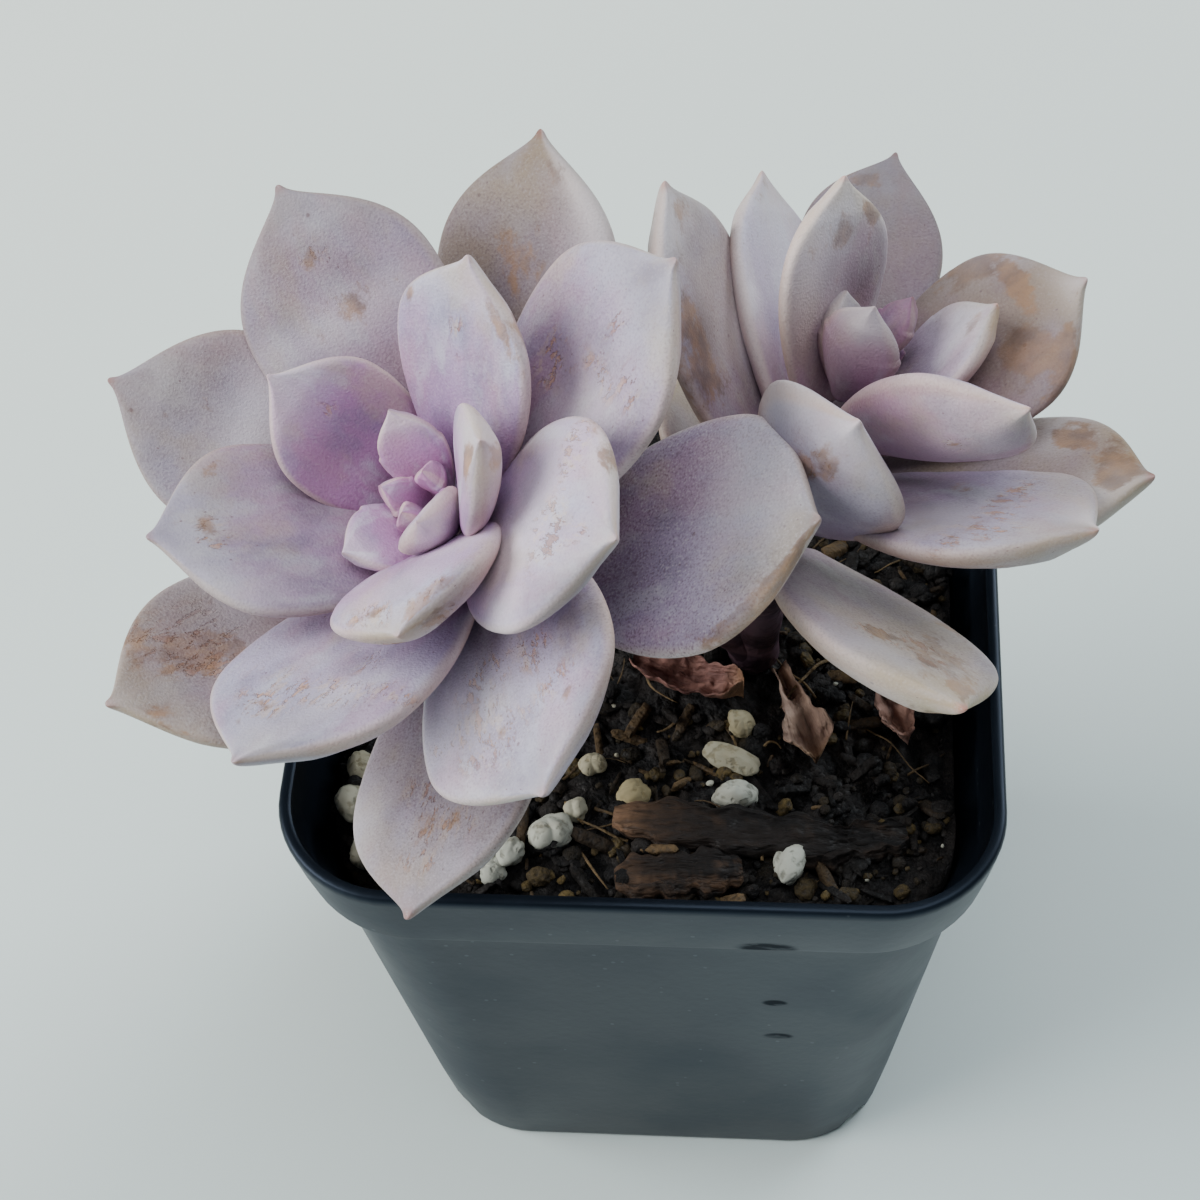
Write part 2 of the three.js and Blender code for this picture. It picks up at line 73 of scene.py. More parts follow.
# Stem
TRUNK_FOOT = (10.2, 0.6, 48)
FORK = (10.4, -1.2, 67)
STEM_RADIUS = 2.2
TRUNK_RADIUS = 2.7

# Rosettes: growing tip, lean of the axis from upright, heading of the lean
LEFT = {"apex": (-17, -17, 105), "lean": 30, "heading": -125}
RIGHT = {"apex": (20.5, 1.5, 105), "lean": 24, "heading": 35}

# Leaf form
WIDEST_AT = 0.6
ROOT_SHARE = 0.34
SHOULDER = 2.6
TIP_POINT = 1.15
PINCH = 0.68
PINCH_REACH = 1.8
TIP_ROUND = 0.45
KEEL = 0.35
UPPER_SHARE = 0.26
CUP = 0.03
ROOT_RADIUS = 2.5
HEART_ROOT_RADIUS = 1.2

# Azimuth, distance below the growing tip, pitch, roll, bend, length, width
LEFT_HEART = [
    (70, 0.8, 80, 0, 0, 4.5, 2.8),
    (230, 0.8, 78, 0, 0, 4, 2.6),
    (330, 1.2, 74, 0, 0, 6, 3.6),
    (305, 1.8, 70, 12, 2, 11, 7.2),
    (104, 3.2, 58, 3, 0, 10.8, 6.2),
    (164, 2.8, 63, -3, 2, 6, 4),
    (220, 3.8, 50, -1, 1, 10.6, 7.4),
]
RIGHT_HEART = [
    (200, 0.8, 80, 0, 0, 5, 3),
    (40, 1.2, 78, 0, 0, 7, 4.4),
    (240, 4.2, 74, 0, 4, 11, 8),
    (140, 4.4, 66, 0, 4, 8.6, 6.2),
    (72, 4.6, 62, 0, 4, 8, 6),
]
# The same for the large leaves, numbered from 1, with how the skin is coloured, as shares from 0 to 1:
# age (greyish beige), blush (mauve, as young leaves are), depth (a darker skin, partly painted shade
# where a leaf lies in shade), specks, and tan towards the tip
LEFT_LEAVES = [
    ((6, 2.6, 70, 2, -12, 18.4, 10.8), (0, 0.75, 0, 0.1, 0.4)),
    ((284, 4.8, 68, 7, -24, 23, 15.8), (0, 0.55, 0, 0.15, 0.5)),
    ((66, 5.5, 49, -9, -4, 24.5, 15.2), (0, 0.5, 0, 0.15, 0.35)),
    ((342, 6, 55, -2, -24, 29, 19), (0, 0.4, 0, 0.2, 0.35)),
    ((141, 8.4, 53, 9, 4, 21.8, 12.8), (0, 0.95, 0.2, 0.1, 0.05)),
    ((192, 7.5, 48, 14, -5, 27, 17.8), (0.2, 0.5, 0.5, 0.15, 0.15)),
    ((249, 7.8, 34, 13, 15, 32, 20.2), (0.05, 0.15, 0.25, 0.15, 0.25)),
    ((34, 8, 33, -8, -2, 32.5, 20), (0.2, 0.35, 0.2, 0.3, 0.2)),
    ((299, 8.6, 25, 12, 8, 31.5, 21.5), (0.1, 0.2, 0, 0.35, 0.2)),
    ((116, 9, 29, -7, -2, 32.5, 20), (0.4, 0.3, 0.8, 0.3, 0.25)),
    ((158, 10.5, 20, -5, 9, 34, 18.4), (0.6, 0.1, 0.75, 0.3, 0.3)),
    ((219, 11.5, 23, 7, 28, 36, 20.2), (0.8, 0, 0.7, 0.4, 0.7)),
    ((75.5, 13, 15, -7, 11, 34.5, 19.4), (1.25, 0.2, 0.95, 0.5, 1)),
    ((268, 15.5, 11, 17, 15, 34.8, 20.4), (0.6, 0.15, 0.75, 0.5, 0.2)),
    ((355, 18.5, 16, -10, 17, 34.2, 22.8), (0.25, 0.3, 0, 0.9, 0.35)),
]
RIGHT_LEAVES = [
    ((6, 6.5, 59, 2, 13, 16, 10.4), (0.6, 0.25, 0, 0.1, 0.7)),
    ((295, 7.2, 43, -28, 1, 27, 12.8), (0.1, 0.85, 0, 0.15, 0.3)),
    ((138, 8, 70, 0, 3, 21.7, 14.2), (1, 0.5, 0, 0.15, 0.8)),
    ((17, 9, 49, 15, 11, 25, 17.8), (1.25, 0.7, 0.85, 0.2, 1)),
    ((88, 11, 29, 0, 10, 30, 14.4), (0.65, 0.15, 1, 0.2, 0.5)),
    ((122, 13, 38, 23, 3, 26.2, 15.2), (0.25, 0.2, 0, 0.2, 0.25)),
    ((337, 13.5, 25, 18, 21, 30.8, 17.4), (1.4, 0, 0.8, 0.3, 1.3)),
    ((313, 14, 28, 11, 10, 31.2, 18.2), (0.35, 0.15, 0.45, 0.2, 0.5)),
    ((259, 16.8, 48, -24, 9, 27.5, 16.6), (0.15, 0.1, 0.15, 0.2, 0.05)),
    ((165, 17.3, 44, -5, 13, 31.6, 16.4), (0.85, 0.1, 0.3, 0.2, 0.6)),
    ((293, 22, 16, -8, 4, 32.4, 18.8), (1.15, 0.15, 0, 0.3, 1)),
    ((132, 25, 18, 12, 11, 18.5, 12.8), (1.5, 0.15, 0, 0.2, 0.6)),
]

WEAR = ("age", "blush", "depth", "specks", "tan")

# Marks on the leaves, by the leaf's number: distance along, place across from -1 to 1, reach along,
# reach across, strength.
# Where the skin is scarred
SCARS = {
    "left": {
        2: [(0.82, -0.5, 0.07, 0.3, 0.8), (0.84, 0.55, 0.06, 0.3, 0.7)],
        3: [(0.7, 0, 0.12, 0.14, 0.6)],
        4: [(0.72, -0.08, 0.1, 0.3, 1), (0.68, 0.7, 0.07, 0.3, 0.9), (0.84, 0, 0.06, 0.2, 0.7)],
        5: [(0.72, -0.05, 0.05, 0.15, 0.5)],
        6: [(0.79, 0.05, 0.06, 0.3, 0.7)],
        7: [
            (0.79, -0.3, 0.05, 0.3, 1), (0.68, 0.1, 0.05, 0.45, 1), (0.64, 0.8, 0.03, 0.2, 0.8),
            (0.53, 0.33, 0.06, 0.08, 0.7),
        ],
        8: [
            (0.5, 0.3, 0.06, 0.22, 0.9), (0.78, -0.05, 0.06, 0.1, 0.7), (0.62, -0.2, 0.03, 0.22, 0.7),
            (0.7, -0.6, 0.05, 0.2, 0.6),
        ],
        9: [
            (0.62, -0.5, 0.04, 0.35, 0.8), (0.55, 0.3, 0.08, 0.14, 1), (0.5, -0.2, 0.06, 0.25, 0.9),
            (0.75, -0.3, 0.12, 0.35, 0.6), (0.7, 0.5, 0.06, 0.3, 0.6),
        ],
        10: [(0.8, -0.05, 0.05, 0.25, 0.42), (0.65, 0.1, 0.05, 0.3, 0.4)],
        12: [(0.72, -0.2, 0.14, 0.4, 0.6), (0.85, -0.6, 0.06, 0.4, 0.5)],
        14: [
            (0.74, 0.2, 0.06, 0.45, 0.9), (0.66, -0.15, 0.05, 0.25, 0.8), (0.85, 0.1, 0.05, 0.5, 0.6),
        ],
    },
    "right": {
        2: [(0.67, 0, 0.06, 0.14, 0.8)],
        8: [
            (0.68, -0.4, 0.06, 0.6, 1), (0.63, 0.2, 0.05, 0.35, 0.9), (0.78, -0.6, 0.05, 0.3, 0.6),
        ],
        9: [(0.7, -0.1, 0.06, 0.16, 1), (0.78, 0, 0.07, 0.3, 0.7)],
        11: [
            (0.78, -0.05, 0.06, 0.22, 1), (0.65, -0.3, 0.06, 0.27, 1), (0.72, 0.1, 0.1, 0.3, 0.8),
        ],
    },
}
# Where the skin is darker, partly painted shade where the leaf lies in shade
DARK_SKIN_AND_PAINTED_SHADE = {
    "left": {
        1: [(0.68, -0.95, 0.12, 0.18, 0.5)],
        2: [(0.85, 0.95, 0.15, 0.3, 0.75)],
        4: [(0.85, -0.9, 0.14, 0.3, 0.7)],
        5: [(0.6, 0.2, 0.16, 1.2, 0.55)],
        6: [(0.45, -0.4, 0.16, 0.6, 0.95), (0.95, 0, 0.08, 1, 0.6)],
        7: [(0.92, 0.85, 0.12, 0.3, 0.8), (1, -0.3, 0.08, 0.5, 0.5)],
        8: [(0.9, 0, 0.1, 1.2, 0.5), (0.68, -0.85, 0.12, 0.25, 0.55)],
        9: [(0.93, 0, 0.12, 1.2, 0.5), (0.82, 0.95, 0.14, 0.3, 0.7)],
        10: [(0.45, 0, 0.12, 1, 0.95)],
        15: [(0.34, -0.5, 0.2, 0.8, 1), (0.2, 0.3, 0.16, 1, 1), (1, 0, 0.05, 1.2, 0.5)],
    },
    "right": {
        1: [(0.4, 0, 0.12, 1, 0.5)],
        2: [(0.88, 0.6, 0.12, 0.5, 0.6)],
        3: [(0.52, -0.35, 0.16, 0.6, 0.9), (0.62, 0.25, 0.12, 0.3, 0.7)],
        9: [(0.62, 0.4, 0.15, 0.4, 0.65)],
        10: [(0.6, 0.6, 0.14, 0.6, 0.9), (0.47, 0.85, 0.1, 0.3, 0.8)],
        11: [(0.82, 0.9, 0.14, 0.3, 0.5), (0.4, -0.3, 0.1, 0.4, 0.4)],
    },
}
# Where its pale bloom is thicker, partly painted light where the leaf catches more light
BLOOM_AND_PAINTED_LIGHT = {
    "left": {
        1: [(0.78, 0.4, 0.22, 0.8, 0.9)],
        2: [(0.7, -0.2, 0.16, 0.6, 0.8), (0.5, 0.5, 0.1, 0.5, 0.8)],
        3: [(1, 0.9, 0.08, 0.3, 0.5)],
        4: [(0.55, 0.1, 0.2, 1.2, 1), (0.62, -0.85, 0.12, 0.4, 1), (0.85, 0.9, 0.14, 0.3, 0.5)],
        5: [(0.95, 0, 0.13, 1.2, 1)],
        6: [(0.75, 0.85, 0.16, 0.3, 0.5)],
        7: [(0.72, 0.35, 0.14, 0.3, 0.8)],
        8: [(0.52, -0.3, 0.12, 0.35, 1)],
        9: [(0.54, -0.5, 0.2, 0.7, 1)],
        10: [(0.6, 0.2, 0.07, 1, 0.6)],
        11: [(0.6, 0, 0.08, 1.2, 0.7)],
        12: [(0.6, -0.6, 0.08, 0.7, 0.7), (1, 0, 0.07, 1, 0.6)],
        13: [(0.85, -0.9, 0.2, 0.3, 1)],
        14: [(0.72, -0.85, 0.1, 0.3, 0.6)],
        15: [(0.77, 0.4, 0.17, 0.9, 1)],
    },
    "right": {
        1: [(0.75, 0.2, 0.15, 0.8, 0.5)],
        2: [(0.45, 0, 0.3, 0.6, 0.5)],
        3: [(0.93, 0, 0.14, 1.2, 1), (0.72, 0.6, 0.3, 0.7, 1)],
        4: [(0.7, 0.9, 0.2, 0.3, 0.5), (0.98, 0, 0.09, 1.2, 1)],
        6: [(0.7, -0.3, 0.25, 1, 1), (0.5, 0.95, 0.3, 0.25, 1)],
        7: [(0.9, -0.5, 0.12, 0.7, 0.8), (0.66, 0.85, 0.1, 0.4, 0.9)],
        8: [(0.52, -0.3, 0.12, 0.35, 1), (0.97, 0.5, 0.1, 0.6, 0.9)],
        9: [(0.7, -0.95, 0.25, 0.3, 1), (1, 0, 0.12, 1.2, 1)],
        10: [(0.45, -0.6, 0.12, 0.5, 1), (0.92, 0.4, 0.1, 0.8, 0.9)],
        11: [(0.76, -0.6, 0.14, 0.5, 0.8)],
    },
}
# Where it is stained ochre
STAINS = {
    "left": {
        1: [(0.88, -0.3, 0.1, 0.5, 0.9)],
        2: [(0.82, -0.4, 0.05, 0.24, 0.9), (0.87, 0.6, 0.08, 0.35, 1)],
        3: [(0.79, -0.85, 0.09, 0.16, 1), (0.77, 0.88, 0.05, 0.12, 1)],
        4: [(0.73, -0.1, 0.07, 0.16, 0.65), (0.8, 0.95, 0.1, 0.12, 0.7)],
        6: [(0.8, 0, 0.05, 0.25, 0.6), (0.77, -0.75, 0.04, 0.14, 0.65)],
        7: [(0.78, -0.3, 0.03, 0.2, 0.65), (0.67, 0.2, 0.03, 0.25, 0.65)],
        9: [(0.73, -0.25, 0.03, 0.08, 1), (0.78, 0.6, 0.03, 0.1, 0.8)],
        10: [(0.64, -0.1, 0.06, 0.4, 0.65), (0.78, 0, 0.04, 0.2, 0.6)],
        11: [(0.73, -0.15, 0.03, 0.1, 0.9)],
        12: [
            (0.85, -0.7, 0.05, 0.4, 0.9), (0.75, -0.2, 0.1, 0.35, 1), (0.66, -0.1, 0.06, 0.2, 1),
            (0.9, 0.6, 0.05, 0.4, 0.7),
        ],
        13: [(0.66, 0.05, 0.1, 0.3, 0.85), (0.9, -0.5, 0.06, 0.4, 0.75)],
        14: [(0.74, 0.2, 0.05, 0.4, 0.65)],
        15: [(0.85, -0.98, 0.14, 0.2, 1.3), (0.73, -0.37, 0.014, 0.05, 1)],
    },
    "right": {
        1: [(0.85, 0, 0.08, 0.6, 0.6)],
        2: [(0.67, 0, 0.04, 0.08, 1), (0.8, 0.9, 0.08, 0.14, 0.8)],
        3: [(0.83, -0.75, 0.06, 0.3, 1), (0.78, 0.2, 0.1, 0.6, 0.75)],
        4: [
            (0.8, -0.85, 0.1, 0.35, 1.3), (0.7, -0.4, 0.1, 0.3, 1.6), (0.78, 0.5, 0.05, 0.5, 1.3),
            (0.68, 0.9, 0.14, 0.25, 1.2),
        ],
        5: [(0.87, 0.5, 0.04, 0.5, 0.7)],
        6: [(0.9, 0.6, 0.06, 0.4, 0.6)],
        7: [(0.88, 0.3, 0.09, 0.8, 1), (0.72, 0.6, 0.12, 0.4, 0.8)],
        8: [(0.68, -0.4, 0.03, 0.5, 0.65), (0.45, 0.35, 0.1, 0.2, 0.7)],
        9: [(0.7, -0.1, 0.06, 0.16, 1.2), (0.8, 0, 0.08, 0.3, 0.8)],
        10: [(0.55, 0.7, 0.25, 0.4, 0.9), (0.9, 0, 0.06, 0.6, 0.7)],
        11: [
            (0.78, 0, 0.05, 0.16, 1.3), (0.64, -0.25, 0.05, 0.2, 1.3), (0.9, 0.3, 0.1, 0.7, 0.9),
            (0.72, 0.2, 0.14, 0.4, 0.8), (0.5, 0.9, 0.2, 0.2, 0.7),
        ],
    },
}

# x, y, half length, half width, half height, turn, how yellow
PERLITE = [
    (-26.4, -25.2, 2.4, 1.9, 1.7, 40, 0.3),
    (-28.4, -20.4, 2, 1.8, 1.6, 80, 0.3),
    (-28.6, -15.6, 1.8, 1.5, 1.4, 110, 0.5),
    (-9, -23, 2.2, 1.9, 1.6, 15, 0.05),
    (-12.6, -25.4, 1.5, 1.3, 1.2, 60, 0),
    (-14.4, -27.2, 1.5, 1.3, 1.2, 100, 0),
    (-1.2, -18, 1.7, 1.5, 1.3, 40, 0.9),
    (1.4, -21, 1.8, 1.2, 1.2, 5, 0.25),
    (9, -18, 2.4, 1.5, 1.5, 10, 0),
    (14.6, -25.6, 2.3, 1.5, 1.6, 75, 0),
    (-5.4, -14.6, 1.4, 1.2, 1.1, 30, 0.6),
    (9.4, -9.8, 1.6, 1.3, 1.2, 120, 0.7),
    (-6.6, -20, 1.3, 1.1, 1, 80, 0.4),
    (8.4, -13.9, 3.2, 1.3, 1.1, -22, 0.5),
]
# x, y, half length, half width, half height, turn, how tan its streaks and its worn end are
BARK = [
    (8.6, -22.2, 11.5, 2.6, 1.2, -6, 0.3, 1.4),
    (3.8, -27.2, 6.2, 2.6, 1.3, 7, 0.9, 0.5),
    (20, -23.2, 6, 2.2, 1.2, 12, 0.25, 0.1),
]
# Where the mix's grains are golden: x, y, reach, strength
GOLDEN = [
    (-5, -14, 2.6, 1), (-1, -11, 1.8, 0.8), (1.3, -16.2, 1.6, 0.5), (8.2, -8.8, 1.4, 0.9),
    (24, -10.6, 2, 0.6), (-7.4, -29, 1.6, 1), (-3.3, -24.4, 1.4, 0.9), (5.3, -13.3, 1.2, 0.6),
]
# Root x, y, heading, length, width, curl along, curl across, how far out the broadest place lies, how
# much the end narrows, how beige
DRY_LEAVES = [
    (-1.8, -4, -16, 11.8, 5.6, 40, 0.34, 1, 0.85, 0.1),
    (12.9, -3, -70, 11.6, 5.4, -34, 0.26, 2.4, 0.45, 0.85),
    (23.4, -5.6, -66, 6.5, 4, 30, 0.36, 1, 0.85, 0.4),
]

# Rings, and points round each
LEAF_GRID = (92, 60)
YOUNG_LEAF_GRID = (44, 32)
PERLITE_GRID = (34, 48)
BARK_GRID = (70, 40)
CRUMB_GRID = (6, 9)
# Rings, and points across each face
DRY_LEAF_GRID = (80, 28)
# Steps round each corner and along each edge
POT_STEPS = (14, 10)
MIX_STEPS = (20, 38)

# Light that a darker patch of skin (partly painted shade) multiplies, and that a pale bloom (partly
# painted light) adds: linear RGBA
SHADE_TINT = (0.42, 0.4, 0.42, 1.0)
BLOOM_AND_LIGHT_TINT = (0.36, 0.34, 0.36, 1.0)

# The camera: where it stands (metres), its right, up and backward directions, and its lens
CAMERA_AT = (0.014165, -0.15553, 0.274141)
CAMERA_RIGHT = (0.99698, 0.06186, -0.04700)
CAMERA_UP = (-0.02079, 0.79539, 0.60575)
CAMERA_BACK = (0.07485, -0.60294, 0.79427)
CAMERA_LENS = 76.6
CAMERA_SENSOR = 36.0

# Lamps: place (metres), width, power, colour
LAMP_AIM = (0, 0, 0.08)
LAMPS = {
    "window_left": ((-1.02, -0.22, 0.74), 1.1, 25.0, (1.0, 0.99, 0.97)),
    "window_behind": ((0.74, 0.72, 0.66), 0.7, 9.5, (0.9, 0.96, 1.0)),
    "ceiling": ((0.1, -0.1, 1.28), 0.8, 8.5, (0.95, 0.98, 1.0)),
}
SKY_COLOUR = (0.8, 0.9, 1.0, 1.0)
SKY_STRENGTH = 0.12
FLOOR_REACH = 3000


# Meshes

def linear(colour):
    """Three display values from 0 to 255 as linear RGBA; a socket or a linear RGBA stays as it is."""
    if isinstance(colour, bpy.types.NodeSocket) or len(colour) == 4:
        return colour
    shown = np.array(colour) / 255
    light = np.where(shown <= 0.04045, shown / 12.92, ((shown + 0.055) / 1.055) ** 2.4)
    return (*light.tolist(), 1.0)


def grid_faces(rows, columns):
    """Quads between each closed ring of points and the next."""
    i, j = np.meshgrid(np.arange(rows - 1), np.arange(columns), indexing="ij")
    k = (j + 1) % columns
    low = i * columns
    high = low + columns
    return np.stack([low + j, low + k, high + k, high + j], -1).reshape(-1, 4)


def capped(rings, first, last):
    """Points and faces of a stack of closed rings, with a fan to a middle point at either end."""
    rows, columns = rings.shape[:2]
    points = np.vstack([rings.reshape(-1, 3), [first], [last]])
    j = np.arange(columns)
    k = (j + 1) % columns
    start = (rows - 1) * columns
    low = np.stack([np.full(columns, rows * columns), k, j], -1)
    high = np.stack([np.full(columns, rows * columns + 1), start + j, start + k], -1)
    return points, (grid_faces(rows, columns), np.vstack([low, high]))


def new_mesh(name, points, quads, triangles=()):
    """A mesh in metres from points in millimetres."""
    mesh = bpy.data.meshes.new(name)
    faces = [*np.array(quads).tolist(), *np.array(triangles).tolist()]
    mesh.from_pydata((np.array(points) * MM).tolist(), [], faces)
    mesh.update()
    return mesh


def link_object(name, data):
    """An object at the origin, shown in the scene."""
    made = bpy.data.objects.new(name, data)
    bpy.context.scene.collection.objects.link(made)
    return made


def make_piece(name, parts, material, replaced=(), attributes=None, sharp=None):
    """One object at the origin from a list of points with their quads and triangles. It rides on the
    plant's body."""
    starts = np.cumsum([0, *(len(points) for points, _ in parts)])
    quads = np.vstack([faces[0] + start for (_, faces), start in zip(parts, starts)])
    triangles = np.vstack([faces[1] + start for (_, faces), start in zip(parts, starts)])
    mesh = new_mesh(name, np.vstack([points for points, _ in parts]), quads, triangles)
    for key, values in (attributes or {}).items():
        values = np.asarray(values, dtype=np.float32)
        if values.ndim == 2:
            layer = mesh.attributes.new(key, "FLOAT_VECTOR", "POINT")
            layer.data.foreach_set("vector", values.ravel())
        else:
            layer = mesh.attributes.new(key, "FLOAT", "POINT")
            layer.data.foreach_set("value", values)
    mesh.polygons.foreach_set("use_smooth", np.ones(len(mesh.polygons), dtype=bool))
    if sharp:
        mesh.set_sharp_from_angle(angle=math.radians(sharp))
    mesh.materials.append(material)
    piece = link_object(name, mesh)
    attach(piece, "root")
    if replaced:
        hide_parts(*replaced)
    return piece


def waves(points, seed, scale, octaves=4, strength=0.5):
    """Smooth noise from -1 to 1: sums of sine waves in random directions, each octave finer and weaker."""
    random = np.random.default_rng(seed)
    total = np.zeros(points.shape[:-1])
    weight = 1.0
    reach = 0.0
    for octave in range(octaves):
        directions = random.normal(size=(5, points.shape[-1]))
        directions /= np.linalg.norm(directions, axis=1)[:, None]
        phases = random.uniform(0, 2 * math.pi, 5)
        rate = scale * 2.03 ** octave
        total += weight * np.sin(rate * points @ directions.T + phases).sum(-1) / 2.6
        reach += weight
        weight *= strength
    return total / reach


# Leaves

def rosette_axes(rosette):
    """The axis of a rosette from its lean and heading, and two directions square to it."""
    lean = math.radians(rosette["lean"])
    heading = math.radians(rosette["heading"])
    axis = np.array([
        math.sin(lean) * math.cos(heading),
        math.sin(lean) * math.sin(heading),
        math.cos(lean),
    ])
    east = np.array([1.0, 0, 0]) - axis * axis[0]
    east /= np.linalg.norm(east)
    return axis, east, np.cross(axis, east)


def half_width(s, length):
    """Half width along a leaf: a sine rise from the root to the widest place, then a rounded
    shoulder pinched into a short point, whose very end is round."""
    rise = ROOT_SHARE + (1 - ROOT_SHARE) * np.sin(np.pi / 2 * np.clip(s / WIDEST_AT, 0, 1))
    u = np.clip((s - WIDEST_AT) / (1 - WIDEST_AT), 0, 1)
    shoulder = np.clip(1 - u ** SHOULDER, 0, 1) ** TIP_POINT
    left = (1 - s) * length
    pinch = 1 - PINCH * np.exp(-left / PINCH_REACH)
    blunt = np.sqrt(1 - (1 - np.clip(left / TIP_ROUND, 0, 1)) ** 2)
    return np.where(s < WIDEST_AT, rise, (shoulder * pinch + 0.04 * np.exp(-left / 0.6)) * blunt)


def leaf_surface(rosette, spec, root_radius, seed, wrinkled, grid):
    """A leaf: closed sections carried along a centre line that bends at an even rate.

    Each section is nearly flat above and has a blunt keel below, and its half width and depth
    follow half_width and a swelling towards the middle. Slow waves roughen the surface a little, and
    finer ones drawn out lengthways wrinkle it.
    Returns points, faces and the attributes that the skin's colours read.
    """
    azimuth, drop, pitch, roll, bend, length, width = spec
    rows, columns = grid
    axis, east, north = rosette_axes(rosette)
    turn, rise, tilt = (math.radians(v) for v in (azimuth, pitch, roll))
    out = math.cos(turn) * east + math.sin(turn) * north
    side = -math.sin(turn) * east + math.cos(turn) * north
    along = math.cos(rise) * out + math.sin(rise) * axis
    face = -math.sin(rise) * out + math.cos(rise) * axis
    across = math.cos(tilt) * side + math.sin(tilt) * face
    up = -math.sin(tilt) * side + math.cos(tilt) * face
    root = np.array(rosette["apex"]) - drop * axis + root_radius * out

    s = 1 - (1 - np.linspace(0, 0.9985, rows)) ** 1.35
    s = s / s[-1] * 0.9995
    angle = math.radians(bend) * s
    steps = np.diff(s, prepend=0) * length
    middle = math.radians(bend) * (s + np.concatenate([[0], s[:-1]])) / 2
    x_line = np.cumsum(np.cos(middle) * steps)
    y_line = np.cumsum(np.sin(middle) * steps)

    theta = np.linspace(0, 2 * np.pi, columns, endpoint=False)
    share = np.abs(np.cos(theta))
    crest = 1 - (np.sqrt(share ** 2 + 0.04) - 0.2) / (math.sqrt(1.04) - 0.2)
    half = width / 2 * half_width(s, length)
    swell = 0.55 + 0.45 * np.sin(0.9 * np.pi * np.clip(s / 0.9, 0, 1))
    depth = (2.2 + 0.14 * width) * swell * np.clip((1 - s) / 0.16, 0, 1) ** 0.6
    over = UPPER_SHARE * np.sqrt(np.clip(1 - share ** 6, 0, 1))
    under = (1 - UPPER_SHARE) * (
        (1 - KEEL) * np.sqrt(np.clip(1 - share ** 2.4, 0, 1)) + KEEL * crest
    )
    profile = np.where(np.sin(theta) >= 0, over, -under)
    x = half[:, None] * np.cos(theta)
    y = depth[:, None] * profile + CUP * width * (2 * x / width) ** 2
    rings = (
        root
        + (x_line[:, None] - y * np.sin(angle)[:, None])[..., None] * along
        + (y_line[:, None] + y * np.cos(angle)[:, None])[..., None] * up
        + x[..., None] * across
    )
    drawn_out = np.stack([x / 10, (s * length)[:, None] / 34 + 0 * x, np.sin(theta) + 0 * x], -1)
    soft = 0.16 * waves(rings / 10, seed, 3.2, 3)
    soft += 0.12 * wrinkled * waves(drawn_out, seed + 100, 9.0, 4)
    soft *= np.clip(8 * s * (1 - s), 0, 1)[:, None]
    lift = np.sign(profile) * (1 - share ** 6)
    rings = rings + (soft * lift)[..., None] * up

    end = math.radians(bend)
    tip = rings[-1].mean(0) + 0.02 * (math.cos(end) * along + math.sin(end) * up)
    points, faces = capped(rings, root, tip)
    s_all = np.repeat(s, columns)
    across_all = (np.cos(theta)[None, :] * np.ones((rows, 1))).ravel()
    upper_all = (np.sin(theta)[None, :] * np.ones((rows, 1))).ravel()
    blade = np.stack([x.ravel(), s_all * length, upper_all * 3 + seed * 7.3], -1)
    attributes = {
        "along": np.concatenate([s_all, [0, 1]]),
        "across": np.concatenate([across_all, [0, 0]]),
        "upper": np.concatenate([upper_all, [0, 0]]),
        "blade": np.vstack([blade, [[0, 0, seed]], [[0, length, seed]]]) * MM,
    }
    return points, faces, attributes


def marked(attributes, marks):
    """How strongly each point lies in any of the marks: bell curves, the strongest counting."""
    along = attributes["along"]
    across = attributes["across"]
    share = np.zeros(len(along))
    for middle, side, reach, spread, strength in marks:
        bell = np.exp(-(((along - middle) / reach) ** 2) - ((across - side) / spread) ** 2)
        share = np.maximum(share, strength * bell)
    return share


def leaf_attributes(attributes, wear, scars=(), stains=(), dark_skin_and_shade=(), bloom_and_painted_light=()):
    """Adds the shares of wear, the same at every point of a leaf, and the marks on it."""
    count = len(attributes["along"])
    for key, value in zip(WEAR, wear):
        attributes[key] = np.full(count, value)
    # The darker skin takes in the darker marks, partly painted shade
    attributes["depth"] = np.maximum(attributes["depth"], marked(attributes, dark_skin_and_shade))
    attributes["scarred"] = marked(attributes, scars)
    attributes["stained"] = marked(attributes, stains)
    # Marks of thicker bloom, partly painted light
    attributes["pale"] = marked(attributes, bloom_and_painted_light)
    return attributes


# Shader nodes

def connect(node, links):
    """Wires a node's inputs to sockets, or sets them to plain values."""
    for key, value in links.items():
        if isinstance(value, bpy.types.NodeSocket):
            node.id_data.links.new(value, node.inputs[key])
        else:
            node.inputs[key].default_value = value


def wire(kind, links, **settings):
    """A node of this kind with its settings, in the tree of the sockets that it is wired to. Links maps
    its inputs to sockets, at least one, or to plain values."""
    tree = next(value.id_data for value in links.values() if isinstance(value, bpy.types.NodeSocket))
    node = tree.nodes.new(kind)
    for key, value in settings.items():
        setattr(node, key, value)
    connect(node, links)
    return node


def blend(factor, first, second, mode="MIX"):
    """The colour between first and second, each a socket or display values."""
    links = {0: factor, 6: linear(first), 7: linear(second)}
    return wire("ShaderNodeMix", links, data_type="RGBA", blend_type=mode).outputs[2]


def step(value, low, high, to_low=0.0, to_high=1.0):
    """A smooth step of value from low to high."""
    links = {"Value": value, "From Min": low, "From Max": high, "To Min": to_low, "To Max": to_high}
    return wire("ShaderNodeMapRange", links, interpolation_type="SMOOTHSTEP").outputs[0]


def maths(operation, first, second=0.0, third=0.0):
    """One arithmetic step on one, two or three values."""
    links = {0: first, 1: second, 2: third}
    return wire("ShaderNodeMath", links, operation=operation).outputs[0]


def scaled(value, factor, offset):
    """The value times a factor, with an offset added."""
    return maths("MULTIPLY_ADD", value, factor, offset)


